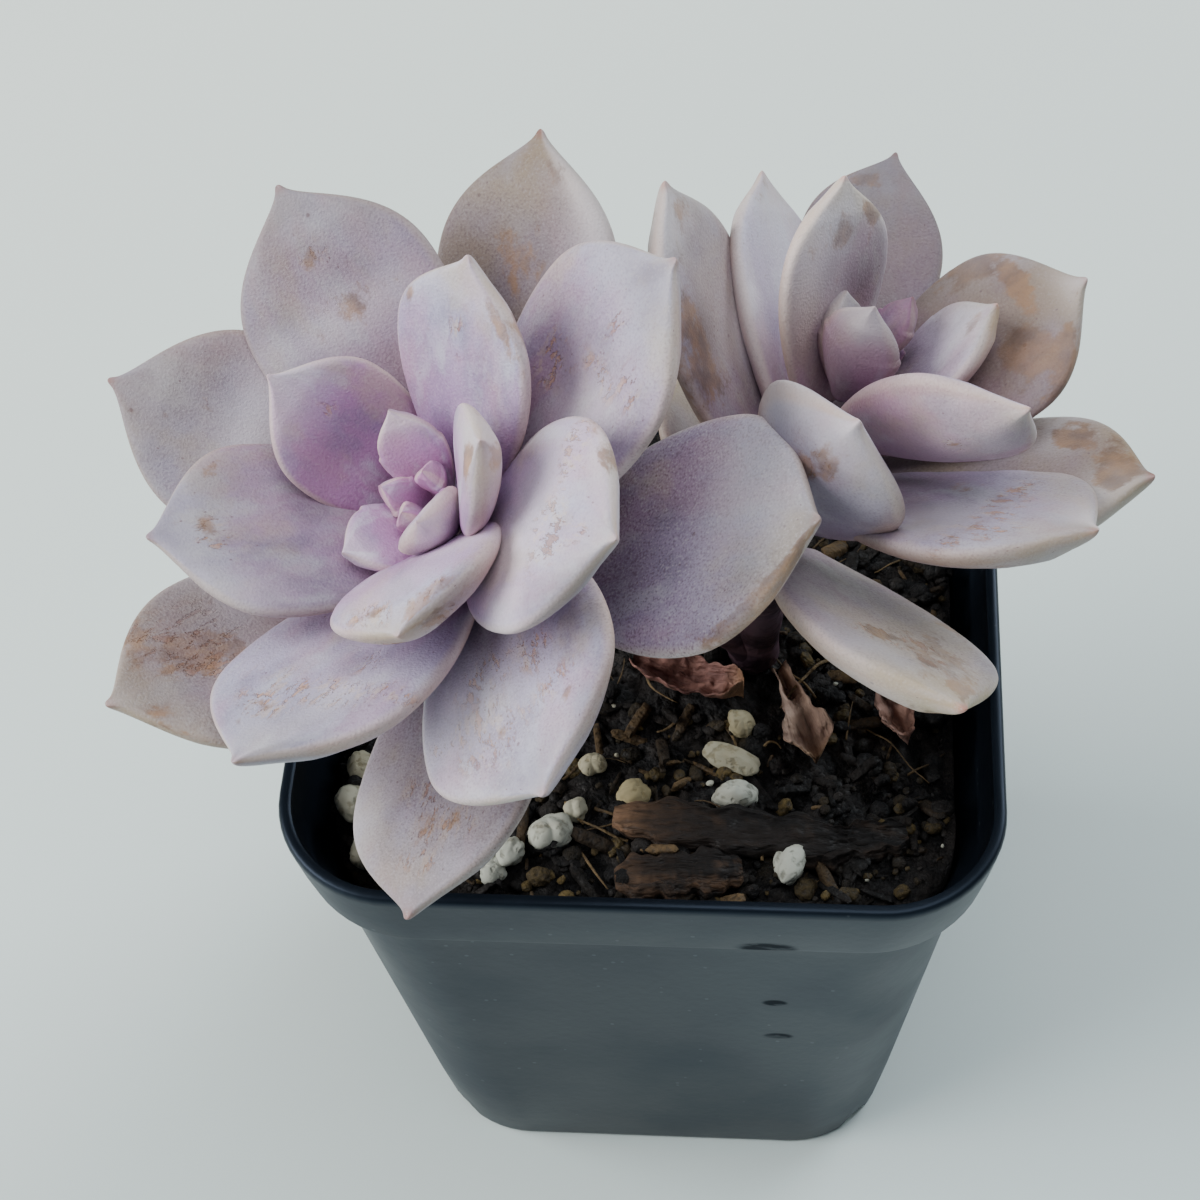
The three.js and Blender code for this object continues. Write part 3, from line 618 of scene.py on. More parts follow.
def noise(vector, scale, detail, roughness=0.5):
    """Plain noise, round one half."""
    links = {"Vector": vector, "Scale": scale, "Detail": detail, "Roughness": roughness}
    return wire("ShaderNodeTexNoise", links).outputs[0]


def attribute(shader, name, vector=False):
    """A value stored on the piece's points, for use beside this shader."""
    node = shader.id_data.nodes.new("ShaderNodeAttribute")
    node.attribute_name = name
    return node.outputs["Vector" if vector else "Fac"]


def stretched(vector, scale):
    """The coordinates with each axis multiplied by its own scale."""
    return wire("ShaderNodeMapping", {"Vector": vector, "Scale": scale}).outputs[0]


def new_group(name, inputs, outputs):
    """An empty node group with named sockets, as (tree, inputs, outputs)."""
    tree = bpy.data.node_groups.new(name, "ShaderNodeTree")
    for label, kind, default in inputs:
        socket = tree.interface.new_socket(label, in_out="INPUT", socket_type=kind)
        if default is not None:
            socket.default_value = default
    for label, kind in outputs:
        tree.interface.new_socket(label, in_out="OUTPUT", socket_type=kind)
    return tree, tree.nodes.new("NodeGroupInput").outputs, tree.nodes.new("NodeGroupOutput").inputs


def mottle_group():
    """Cloudy patches: noise of a scale, stepped smoothly between two levels."""
    tree, given, result = new_group(
        "mottle",
        [("Vector", "NodeSocketVector", None), ("Scale", "NodeSocketFloat", 100.0),
         ("Detail", "NodeSocketFloat", 3.0), ("Roughness", "NodeSocketFloat", 0.5),
         ("Low", "NodeSocketFloat", 0.4), ("High", "NodeSocketFloat", 0.6)],
        [("Mask", "NodeSocketFloat")],
    )
    cloud = noise(given["Vector"], given["Scale"], given["Detail"], given["Roughness"])
    tree.links.new(step(cloud, given["Low"], given["High"]), result["Mask"])
    return tree


def specks_group():
    """Small round specks: cells whose random value is high, inside a radius of their centre."""
    tree, given, result = new_group(
        "specks",
        [("Vector", "NodeSocketVector", None), ("Scale", "NodeSocketFloat", 400.0),
         ("Share", "NodeSocketFloat", 0.1), ("Radius", "NodeSocketFloat", 0.25)],
        [("Mask", "NodeSocketFloat")],
    )
    cells = wire("ShaderNodeTexVoronoi", {"Vector": given["Vector"], "Scale": given["Scale"]})
    shade = wire("ShaderNodeSeparateColor", {"Color": cells.outputs["Color"]})
    chosen = maths("GREATER_THAN", given["Share"], shade.outputs[0])
    core = maths("MULTIPLY", given["Radius"], 0.5)
    small = step(cells.outputs["Distance"], given["Radius"], core)
    tree.links.new(maths("MULTIPLY", chosen, small), result["Mask"])
    return tree


MOTTLE = mottle_group()
SPECKS = specks_group()


def use_group(group, links):
    """The mask that a node group gives."""
    return wire("ShaderNodeGroup", links, node_tree=group).outputs["Mask"]


def mottle(vector, scale, low, high, detail=3.0, roughness=0.5):
    """Cloudy patches."""
    levels = {"Low": low, "High": high, "Detail": detail, "Roughness": roughness}
    return use_group(MOTTLE, {"Vector": vector, "Scale": scale, **levels})


def specks(vector, scale, share, radius):
    """Small round specks."""
    return use_group(SPECKS, {"Vector": vector, "Scale": scale, "Share": share, "Radius": radius})


def new_material(name):
    """A material, its Principled shader and the piece's own coordinates."""
    material = bpy.data.materials.new(name)
    material.use_nodes = True
    nodes = material.node_tree.nodes
    return material, nodes["Principled BSDF"], nodes.new("ShaderNodeTexCoord").outputs["Object"]


def bump(shader, height, distance, strength=1.0):
    """Small relief: height, in the bump's distance, turned into the shader's normal."""
    node = wire("ShaderNodeBump", {"Height": height, "Distance": distance, "Strength": strength})
    connect(shader, {"Normal": node.outputs[0]})


def layered(colour, cover, *masks):
    """The colour with another laid over it, as thick as the product of the masks."""
    factor = masks[0]
    for mask in masks[1:]:
        factor = maths("MULTIPLY", factor, mask)
    return blend(factor, colour, cover)


def leaf_skin():
    """Waxy leaf skin. Lavender is the ground; mauve runs out of the root in streaks, a pale bloom
    thickens to the tip; old leaves turn beige; margins are peach, with a painted highlight as a thin pale
    line along the very edge. Darker and paler patches are partly painted shade and painted light. Stains
    are soft and ochre to brown. Scars are crusts of broken marks with paler flakes and small pits. All is
    finely grained."""
    material, shader, place = new_material("leaf_skin")
    along, across, upper = (attribute(shader, key) for key in ("along", "across", "upper"))
    age, blush, depth, dusty, tan = (attribute(shader, key) for key in WEAR)
    blade = attribute(shader, "blade", True)
    lengthways = stretched(blade, (1.0, 0.7, 1.0))

    # The ground, and what runs out of the root
    clouds = mottle(blade, 95.0, 0.3, 0.7, 4.0)
    fine = mottle(lengthways, 520.0, 0.3, 0.7, 3.0)
    streaks = mottle(stretched(blade, (1.0, 0.13, 1.0)), 330.0, 0.3, 0.7, 3.0)
    colour = blend(clouds, (140, 127, 168), (190, 181, 209))
    outward = step(scaled(clouds, 0.25, along), 0.2, 0.95)
    bloom = scaled(maths("POWER", blush, 4.0), -0.6, 0.8)
    colour = layered(colour, (191, 193, 214), outward, bloom)
    uneven = scaled(streaks, -0.16, scaled(clouds, -0.12, along))
    root = step(uneven, 0.42, -0.06)
    colour = layered(colour, (142, 94, 150), root, scaled(blush, 0.6, 0.36))
    inner = step(scaled(clouds, -0.1, uneven), 0.64, 0.46, 0.1, 0.9)
    inner = maths("MAXIMUM", inner, maths("POWER", blush, 8.0))
    colour = layered(colour, (180, 112, 164), blush, inner)
    warm_root = mottle(stretched(blade, (1.0, 0.3, 1.0)), 210.0, 0.48, 0.62, 2.0)
    colour = layered(colour, (178, 112, 150), warm_root, step(along, 0.62, 0.3), scaled(blush, 0.6, 0.2))

    # Patches, then age
    rubbed = mottle(stretched(blade, (1.0, 0.6, 1.0)), 170.0, 0.46, 0.66, 5.0, 0.62)
    colour = layered(colour, (126, 116, 142), rubbed, 0.62)
    waxed = mottle(stretched(blade, (1.0, 0.5, 1.4)), 240.0, 0.5, 0.7, 4.0, 0.6)
    colour = layered(colour, (214, 217, 226), waxed, 0.56)
    colour = layered(colour, (190, 190, 232), maths("SUBTRACT", 1.0, age), 0.16)
    flushed = mottle(stretched(blade, (1.0, 0.55, 1.0)), 125.0, 0.47, 0.66, 4.0, 0.6)
    colour = layered(colour, (194, 148, 176), flushed, 0.42)
    sallow = mottle(stretched(blade, (1.0, 0.7, 1.0)), 110.0, 0.52, 0.68, 5.0, 0.62)
    colour = layered(colour, (206, 190, 156), sallow, 0.38)
    drifts = mottle(blade, 80.0, 0.42, 0.62, 4.0)
    colour = layered(colour, (186, 168, 154), age, scaled(drifts, 0.4, 0.4))

    # The underside, the margin and the tip
    below = step(upper, 0.0, -0.3)
    colour = layered(colour, (192, 170, 168), below, scaled(clouds, 0.3, 0.35), scaled(age, 0.8, 0.25))
    colour = layered(colour, (212, 178, 154), below, maths("MULTIPLY", tan, 0.6))
    margin = maths("ABSOLUTE", across)
    broken = mottle(blade, 150.0, 0.32, 0.62, 3.0)
    wall = maths("MULTIPLY", step(margin, 0.78, 0.93), step(upper, 0.35, -0.1))
    colour = layered(colour, (204, 168, 144), wall, scaled(broken, 0.6, 0.15), scaled(blush, -0.7, 1.0))
    # A thin pale line along the very margin: a painted highlight
    edge = step(margin, 0.91, 0.99)
    colour = layered(colour, (220, 200, 188), edge, scaled(broken, -0.25, 0.6))
    tip = step(scaled(clouds, 0.08, along), 0.76, 1.0)
    colour = layered(colour, (204, 204, 198), tip, scaled(clouds, 0.3, 0.08), bloom)
    colour = layered(colour, (190, 168, 126), tip, tan, scaled(broken, 0.75, 0.1))
    point = step(along, 0.965, 1.0)
    colour = layered(colour, (190, 130, 116), point, scaled(age, 0.5, 0.25))

    # Scars, pits and spots
    crumbs = noise(lengthways, 420.0, 4.0, 0.68)
    scarred = step(scaled(drifts, 0.25, attribute(shader, "scarred")), 0.2, 0.7)
    drawn = stretched(blade, (1.3, 0.5, 1.2))
    flakes = mottle(drawn, 700.0, 0.52, 0.62, 4.0, 0.7)
    flakes = maths("MULTIPLY", flakes, scarred)
    colour = layered(colour, (212, 190, 172), flakes, 0.5)
    crust = mottle(drawn, 880.0, 0.54, 0.59, 4.0, 0.74)
    scar = maths("MULTIPLY", scarred, crust)
    brown = blend(broken, (154, 108, 98), (210, 164, 134))
    colour = layered(colour, brown, scar, 0.75)
    often = scaled(scarred, 0.14, scaled(dusty, 0.02, 0.005))
    pits = specks(lengthways, 3000.0, often, 0.36)
    colour = layered(colour, (124, 90, 98), pits, 0.6)
    spots = specks(place, 900.0, maths("MULTIPLY", dusty, 0.02), 0.24)
    colour = layered(colour, (112, 78, 82), spots, 0.6)

    # Grain, darker and paler patches (partly painted shade and painted light), then stains
    grain = noise(place, 4200.0, 2.0)
    dust = step(grain, 0.5, 0.7)
    colour = layered(colour, (112, 82, 100), dust, scaled(dusty, 0.5, 0.12),
                     step(along, 1.0, 0.75, 0.2, 1.0))
    pale_grain = step(grain, 0.46, 0.28)
    colour = layered(colour, (216, 210, 214), pale_grain, scaled(dusty, 0.6, 0.1))
    # Darker skin multiplied in, partly painted shade
    colour = blend(depth, colour, SHADE_TINT, "MULTIPLY")
    # Thicker bloom screened in, partly painted light
    colour = blend(attribute(shader, "pale"), colour, BLOOM_AND_LIGHT_TINT, "SCREEN")
    stained = step(scaled(crumbs, 2.4, attribute(shader, "stained")), 1.55, 2.0)
    ochre = blend(fine, (124, 98, 84), (176, 136, 100))
    # The ochre is darkened with the darker skin, painted shade included
    ochre = blend(maths("MULTIPLY", depth, 0.62), ochre, SHADE_TINT, "MULTIPLY")
    colour = layered(colour, ochre, stained, scaled(broken, 0.25, 0.5))
    connect(shader, {"Base Color": colour, "Roughness": scaled(clouds, 0.12, 0.48)})
    connect(shader, {"Specular IOR Level": 0.35})

    bump(shader, scaled(scar, -0.6, maths("MULTIPLY", grain, 0.35)), 0.0002, 0.85)
    return material


def stem_skin():
    """Stem: dull purplish skin with paler bands and dark red leaf scars."""
    material, shader, place = new_material("stem_skin")
    clouds = mottle(place, 260.0, 0.35, 0.65)
    colour = blend(clouds, (44, 28, 38), (96, 72, 84))
    bands = mottle(stretched(place, (0.3, 0.3, 1.0)), 420.0, 0.5, 0.62, 2.0)
    colour = layered(colour, (112, 84, 92), bands, 0.5)
    scars = specks(place, 230.0, 0.4, 0.36)
    colour = layered(colour, (84, 22, 34), scars, 0.9)
    connect(shader, {"Base Color": colour, "Roughness": 0.55})
    bump(shader, scaled(scars, -1.0, clouds), 0.0004, 0.8)
    return material


def pot_plastic():
    """Near-black satin plastic, faintly blue, with fine orange peel, dust and three rubbed marks."""
    material, shader, place = new_material("pot_plastic")
    dust = mottle(place, 60.0, 0.35, 0.8, 5.0)
    colour = blend(dust, (13, 18, 25), (22, 29, 38))
    flecks = specks(place, 1100.0, 0.03, 0.3)
    colour = layered(colour, (96, 104, 108), flecks, 0.3)
    rough = scaled(dust, 0.14, 0.34)
    worn = mottle(stretched(place, (1.0, 1.0, 2.2)), 420.0, 0.35, 0.5, 3.0)
    for spot, reach in RUBBED_MARKS:
        middle = tuple(v * MM for v in spot)
        offset = wire("ShaderNodeVectorMath", {0: place, 1: middle}, operation="SUBTRACT")
        flat = stretched(offset.outputs[0], tuple(1 / (v * MM) for v in reach))
        far = wire("ShaderNodeVectorMath", {0: flat}, operation="LENGTH").outputs["Value"]
        mark = maths("MULTIPLY", step(far, 1.0, 0.55), scaled(worn, 0.6, 0.4))
        rough = scaled(mark, 0.5, rough)
        colour = layered(colour, (8, 11, 14), mark, 0.9)
    connect(shader, {"Base Color": colour, "Roughness": rough})
    peel = noise(place, 900.0, 2.0)
    bump(shader, peel, 0.00006, 0.3)
    connect(shader, {"Specular IOR Level": 0.27, "Specular Tint": (0.55, 0.72, 1.0, 1.0)})
    return material


def earth(name, dark, light, stain, grit_scale, run=(1.0, 1.0, 1.0)):
    """Loose matter: two tones in patches and fine grains, with deep relief, and a stain where the
    piece's tint says so. Run draws the pattern out along an axis."""
    material, shader, place = new_material(name)
    place = stretched(place, run)
    patches = mottle(place, grit_scale * 0.35, 0.4, 0.72, 5.0)
    fine = noise(place, grit_scale * 2, 3.0)
    colour = blend(patches, dark, light)
    colour = layered(colour, light, step(fine, 0.6, 0.75), 0.6)
    tint = attribute(shader, "tint")
    colour = layered(colour, stain, tint, step(fine, 0.3, 0.62, 0.35, 1.0))
    connect(shader, {"Base Color": colour, "Roughness": step(fine, 0.3, 0.65, 0.5, 0.9)})
    connect(shader, {"Specular IOR Level": 0.3})
    bump(shader, fine, 0.0006, 0.9)
    return material


def perlite_skin():
    """Perlite: chalky, bluish white with grey pits, some grains yellow and some soiled."""
    material, shader, place = new_material("perlite_chalk")
    pits = mottle(place, 1100.0, 0.32, 0.5, 4.0)
    stain = mottle(place, 230.0, 0.5, 0.66, 4.0)
    colour = blend(pits, (144, 146, 134), (188, 192, 180))
    colour = layered(colour, (140, 132, 110), stain, 0.35)
    colour = layered(colour, (152, 136, 88), attribute(shader, "tint"), 0.9)
    connect(shader, {"Base Color": colour, "Roughness": 0.85})
    bump(shader, pits, 0.00014, 0.8)
    return material


def dry_skin():
    """Dried leaf: reddish brown or beige, papery, with painted shade darkening its creases, tan at its end.
    """
    material, shader, place = new_material("dried_leaf")
    blade = attribute(shader, "blade", True)
    veins = mottle(stretched(blade, (0.4, 2.4, 1.0)), 520.0, 0.35, 0.65, 4.0)
    clouds = mottle(place, 300.0, 0.42, 0.62, 4.0)
    tint = attribute(shader, "tint")
    low = blend(tint, (108, 68, 64), (132, 108, 92))
    high = blend(tint, (164, 116, 106), (196, 170, 150))
    colour = blend(veins, low, high)
    # Painted shade: darker where the relief sinks into creases
    colour = layered(colour, (100, 64, 58), clouds, 0.45)
    ends = wire("ShaderNodeSeparateXYZ", {"Vector": blade}).outputs[0]
    colour = layered(colour, (176, 140, 100), step(ends, 0.009, 0.012), 0.5)
    connect(shader, {"Base Color": colour, "Roughness": 0.7})
    bump(shader, scaled(clouds, -0.5, veins), 0.0004, 0.9)
    return material


LEAF_SKIN = leaf_skin()
STEM_SKIN = stem_skin()
POT_PLASTIC = pot_plastic()
MIX_EARTH = earth("mix_earth", (10, 10, 12), (42, 38, 36), (122, 104, 62), 900.0)
BARK_WOOD = earth("bark_wood", (9, 8, 9), (30, 25, 23), (124, 96, 74), 900.0, (0.28, 1.0, 1.0))
SPLINTER = earth("wood_splinter", (10, 10, 11), (32, 28, 26), (120, 98, 68), 700.0)
ROOT_FIBRE = earth("root_fibre", (44, 34, 24), (88, 70, 48), (130, 110, 78), 600.0)
PERLITE_CHALK = perlite_skin()
DRIED_LEAF = dry_skin()


# Plant

def build_leaf(rosette, side, number, spec, wear, seed):
    """One leaf with its wear and marks."""
    name = f"{side}_leaf_{number:02d}"
    marks = [table[side].get(number, ()) for table in (SCARS, STAINS, DARK_SKIN_AND_PAINTED_SHADE, BLOOM_AND_PAINTED_LIGHT)]
    wrinkled = 0.4 + 0.15 * len(marks[0])
    points, faces, attributes = leaf_surface(rosette, spec, ROOT_RADIUS, seed, wrinkled, LEAF_GRID)
    leaf_attributes(attributes, wear, *marks)
    make_piece(f"fine_{name}", [(points, faces)], LEAF_SKIN, (name,), attributes)


def build_heart(rosette, node, leaves, wear):
    """The small leaves round a growing tip, all in one piece, each a small leaf surface."""
    parts = []
    kept = {}
    for index, spec in enumerate(leaves):
        shape = leaf_surface(rosette, spec, HEART_ROOT_RADIUS, 60 + index, 0.0, YOUNG_LEAF_GRID)
        points, faces, attributes = shape
        if spec[5] > 8:
            # Paler tips on the larger young leaves: thicker bloom, partly painted light
            leaf_attributes(attributes, wear, bloom_and_painted_light=[(1, 0, 0.22, 2, 0.8)])
        else:
            leaf_attributes(attributes, (wear[0], wear[1] + 0.35, *wear[2:]))
        parts.append((points, faces))
        for key, values in attributes.items():
            kept.setdefault(key, []).append(values)
    joined = {key: np.concatenate(values) for key, values in kept.items()}
    make_piece(f"fine_{node}", parts, LEAF_SKIN, (node,), joined)


def tube_surface(line, radii, columns, seed, rough):
    """Round sections carried along a line of points, smoothed by a moving average; each section's
    radius is multiplied by one plus waves."""
    line = np.array(line, float)
    knots = np.arange(len(line))
    fine = np.linspace(0, len(line) - 1, 30 * (len(line) - 1))
    smooth = np.stack([np.interp(fine, knots, line[:, i]) for i in range(3)], -1)
    window = np.hanning(25) / np.hanning(25).sum()
    padded = np.vstack([np.repeat(smooth[:1], 12, 0), smooth, np.repeat(smooth[-1:], 12, 0)])
    smooth = np.stack([np.convolve(padded[:, i], window, "valid") for i in range(3)], -1)
    radius = np.interp(fine, knots, radii)
    direction = np.gradient(smooth, axis=0)
    direction /= np.linalg.norm(direction, axis=1)[:, None] + 1e-9
    side = np.cross(direction, [0.0, 1.0, 0.0])
    side /= np.linalg.norm(side, axis=1)[:, None]
    other = np.cross(direction, side)
    theta = np.linspace(0, 2 * np.pi, columns, endpoint=False)
    around = side[:, None] * np.cos(theta)[:, None] + other[:, None] * np.sin(theta)[:, None]
    rings = smooth[:, None] + around * radius[:, None, None]
    swell = 1 + rough * waves(rings / 3, seed, 2.4, 3)
    rings = smooth[:, None] + around * (radius[:, None] * swell)[..., None]
    return capped(rings, smooth[0], smooth[-1])


def on_axis(rosette, drop):
    """The point on a rosette's axis this far below its growing tip."""
    return np.array(rosette["apex"]) - drop * rosette_axes(rosette)[0]


def build_stem():
    """The stem: one tube from the trunk's foot into the left rosette, one from the fork into the right."""
    below_fork = (FORK[0], FORK[1], FORK[2] - 5)
    left = [TRUNK_FOOT, FORK, on_axis(LEFT, 20), on_axis(LEFT, 12), on_axis(LEFT, 6.4)]
    right = [below_fork, on_axis(RIGHT, 27), on_axis(RIGHT, 16), on_axis(RIGHT, 7.4)]
    left_radii = [TRUNK_RADIUS, TRUNK_RADIUS, STEM_RADIUS, STEM_RADIUS, 0.9 * STEM_RADIUS]
    right_radii = [0.9 * TRUNK_RADIUS, STEM_RADIUS, STEM_RADIUS, 0.9 * STEM_RADIUS]
    parts = [tube_surface(left, left_radii, 40, 3, 0.05), tube_surface(right, right_radii, 40, 4, 0.05)]
    make_piece("fine_stem", parts, STEM_SKIN, ("forked_stem",))


# Pot and mix

def round_square(half, corner, z, corner_steps, edge_steps):
    """Points of a square with round corners at one height, anticlockwise from the right-hand edge's end."""
    points = []
    centre = half - corner
    quarters = (((1, 1), (-1, 0)), ((-1, 1), (0, -1)), ((-1, -1), (1, 0)), ((1, -1), (0, 1)))
    for quarter, ((sx, sy), run) in enumerate(quarters):
        angle = np.pi / 2 * (quarter + np.linspace(0, 1, corner_steps + 1))
        arc = np.stack([sx * centre + corner * np.cos(angle), sy * centre + corner * np.sin(angle)], -1)
        part = np.linspace(0, 1, edge_steps + 1)[1:-1, None]
        points += [arc, arc[-1] + part * np.array(run) * 2 * centre]
    flat = np.vstack(points)
    return np.column_stack([flat, np.full(len(flat), float(z))])


def body_half(z):
    """Half the width of the tapering body outside, at this height."""
    return BASE_HALF + (BODY_TOP_HALF - BASE_HALF) * z / (POT_HEIGHT - LIP_DEPTH)


def body_corner(z):
    """The radius of the pot's corners at this height."""
    return BASE_CORNER + (RIM_CORNER - BASE_CORNER) * z / POT_HEIGHT


def build_pot():
    """The pot: a round-cornered square carried along the wall's profile, given as half width, corner
    radius and height: up outside, over the rim and down inside. The four drains are cut out."""
    foot = POT_HEIGHT - LIP_DEPTH
    corner = body_corner(foot)
    profile = [
        (BASE_HALF - 1.0, BASE_CORNER - 1.0, 0),
        (BASE_HALF - 0.5, BASE_CORNER - 0.5, 0.12),
        (BASE_HALF - 0.12, BASE_CORNER - 0.12, 0.45),
        (BASE_HALF, BASE_CORNER, 0.9),
        *[(body_half(z), body_corner(z), z) for z in (8, 20, 32, 44, 54, 57)],
        (BODY_TOP_HALF, corner, foot - 0.9),
        (BODY_TOP_HALF + 0.25, corner + 0.1, foot - 0.35),
        (BODY_TOP_HALF + 0.8, corner + 0.2, foot - 0.12),
        (LIP_FOOT_HALF - 0.35, corner + 0.35, foot - 0.05),
        (LIP_FOOT_HALF - 0.08, corner + 0.4, foot + 0.12),
        (LIP_FOOT_HALF, corner + 0.4, foot + 0.45),
        (LIP_FOOT_HALF + 0.5, RIM_CORNER - 0.1, foot + 4.5),
        (RIM_HALF - 0.06, RIM_CORNER, POT_HEIGHT - 1.2),
        (RIM_HALF, RIM_CORNER, POT_HEIGHT - 0.6),
        (RIM_HALF - 0.1, RIM_CORNER - 0.1, POT_HEIGHT - 0.2),
        (RIM_HALF - 0.35, RIM_CORNER - 0.35, POT_HEIGHT),
        (RIM_HALF - WALL + 0.3, RIM_CORNER - WALL + 0.3, POT_HEIGHT),
        (RIM_HALF - WALL + 0.05, RIM_CORNER - WALL + 0.05, POT_HEIGHT - 0.2),
        (RIM_HALF - WALL, RIM_CORNER - WALL, POT_HEIGHT - 0.6),
        (LIP_FOOT_HALF - WALL, corner - WALL + 0.4, foot + 1.2),
        (BODY_TOP_HALF - WALL + 0.2, corner - WALL, foot - 0.2),
        (BODY_TOP_HALF - WALL, corner - WALL, foot - 0.8),
        *[(body_half(z) - WALL, body_corner(z) - WALL, z) for z in (40, 20, FLOOR + 0.6)],
        (body_half(FLOOR) - WALL - 0.5, BASE_CORNER - WALL - 0.5, FLOOR),
    ]
    rings = np.stack([round_square(*ring, *POT_STEPS) for ring in profile])
    points, faces = capped(rings, (0, 0, 0), (0, 0, FLOOR))
    pot = make_piece("fine_pot", [(points, faces)], POT_PLASTIC, ("pot",))

    sides = 40
    angle = np.linspace(0, 2 * np.pi, sides, endpoint=False)
    circle = np.stack([np.cos(angle) * DRAIN_RADIUS, np.sin(angle) * DRAIN_RADIUS], -1)
    under = -2.1
    over = 2.9
    cutters = []
    for x in (-DRAIN_OFFSET, DRAIN_OFFSET):
        for y in (-DRAIN_OFFSET, DRAIN_OFFSET):
            rings = np.stack([np.column_stack([circle + (x, y), np.full(sides, z)]) for z in (under, over)])
            drain, faces = capped(rings, (x, y, under), (x, y, over))
            cutter = link_object("drain", new_mesh("drain", drain, *faces))
            cut = pot.modifiers.new("drain", "BOOLEAN")
            cut.object = cutter
            cut.operation = "DIFFERENCE"
            cut.solver = "EXACT"
            cutters.append(cutter)
    pierced = pot.evaluated_get(bpy.context.evaluated_depsgraph_get())
    finished = bpy.data.meshes.new_from_object(pierced)
    pot.modifiers.clear()
    pot.data = finished
    finished.polygons.foreach_set("use_smooth", np.ones(len(finished.polygons), dtype=bool))
    finished.set_sharp_from_angle(angle=math.radians(40))
    for cutter in cutters:
        bpy.data.objects.remove(cutter)


def mix_height(x, y):
    """Height of the mix: a low mound round the trunk and three crossed waves."""
    far = np.hypot(x - TRUNK_FOOT[0], y - TRUNK_FOOT[1])
    lumps = (
        0.5 * np.sin(0.55 * x + 1.3) * np.cos(0.48 * y - 0.4)
        + 0.32 * np.sin(0.93 * x - 0.7 * y + 2.1)
        + 0.18 * np.cos(1.3 * x + 1.1 * y)
    )
    return MIX_LEVEL + MIX_MOUND * np.exp(-((far / 15) ** 2)) + MIX_RELIEF * lumps


def mix_top(x, y):
    """The mix's height with its crumbs: finer and finer waves, sharpened into ridges."""
    flat = np.stack([x, y], -1)
    crumbs = 1 - 2 * np.abs(waves(flat, 11, 1.1, 5, 0.62))
    return mix_height(x, y) - 0.3 + 0.45 * crumbs + 0.25 * waves(flat, 12, 4.5, 4, 0.7)


def build_mix():
    """The mix: nested round-cornered squares for its top, then down the wall and in under itself."""
    clear = WALL + GAP
    edge = POT_HEIGHT - LIP_DEPTH - 0.8
    half = body_half(edge) - clear
    corner = body_corner(edge) - clear
    rings = [
        round_square(body_half(FLOOR) - clear, BASE_CORNER - clear, FLOOR + GAP, *MIX_STEPS),
        round_square(body_half(30) - clear, body_corner(30) - clear, 30, *MIX_STEPS),
        round_square(half, corner, edge - 1.5, *MIX_STEPS),
    ]
    for share in np.linspace(1, 0.01, 84):
        ring = round_square(share * half, share * corner, 0, *MIX_STEPS)
        ring[:, 2] = mix_top(ring[:, 0], ring[:, 1]) - 0.9 * share ** 6
        rings.append(ring)
    crown = mix_top(np.zeros(1), np.zeros(1))[0]
    points, faces = capped(np.stack(rings), (0, 0, FLOOR + GAP), (0, 0, crown))
    tint = np.clip(waves(points / 4, 31, 1.5, 4) - 0.45, 0, 1) * 0.6
    parts = [(points, faces)]
    make_piece("fine_potting_mix", parts, MIX_EARTH, ("potting_mix",), {"tint": tint})


def ball_rings(rows, columns):
    """Rings of a ball of radius 1, without its poles: sines and cosines of the two angles."""
    polar = np.linspace(0, np.pi, rows + 2)[1:-1]
    theta = np.linspace(0, 2 * np.pi, columns, endpoint=False)
    return np.stack([
        np.sin(polar)[:, None] * np.cos(theta),
        np.sin(polar)[:, None] * np.sin(theta),
        -np.cos(polar)[:, None] * np.ones(columns),
    ], -1)


def set_down(points, x, y, z, turn):
    """The points turned about the upright axis by this many degrees, then moved to a place."""
    co = math.cos(math.radians(turn))
    si = math.sin(math.radians(turn))
    return np.stack([
        x + points[..., 0] * co - points[..., 1] * si,
        y + points[..., 0] * si + points[..., 1] * co,
        z + points[..., 2],
    ], -1)


def build_perlite():
    """Grains of perlite: a stretched ball, from pole to pole, swollen by folded waves into small domes
    that meet in creases."""
    for index, (x, y, a, b, c, turn, yellow) in enumerate(PERLITE):
        seed = 200 + index
        ball, faces = capped(ball_rings(*PERLITE_GRID), (0, 0, -1), (0, 0, 1))
        domes = 2 * np.abs(waves(ball, seed, 2.2, 2)) - 0.6
        knobs = 2 * np.abs(waves(ball, seed + 500, 5.5, 3)) - 0.6
        grain = ball * (1 + 0.15 * domes + 0.0525 * knobs)[:, None] * (a, b, c)
        points = set_down(grain, x, y, mix_height(x, y) + 0.45 * c, turn)
        name = f"perlite_{index + 1:02d}"
        tint = {"tint": np.full(len(points), yellow)}
        make_piece(f"fine_{name}", [(points, faces)], PERLITE_CHALK, (name,), tint)


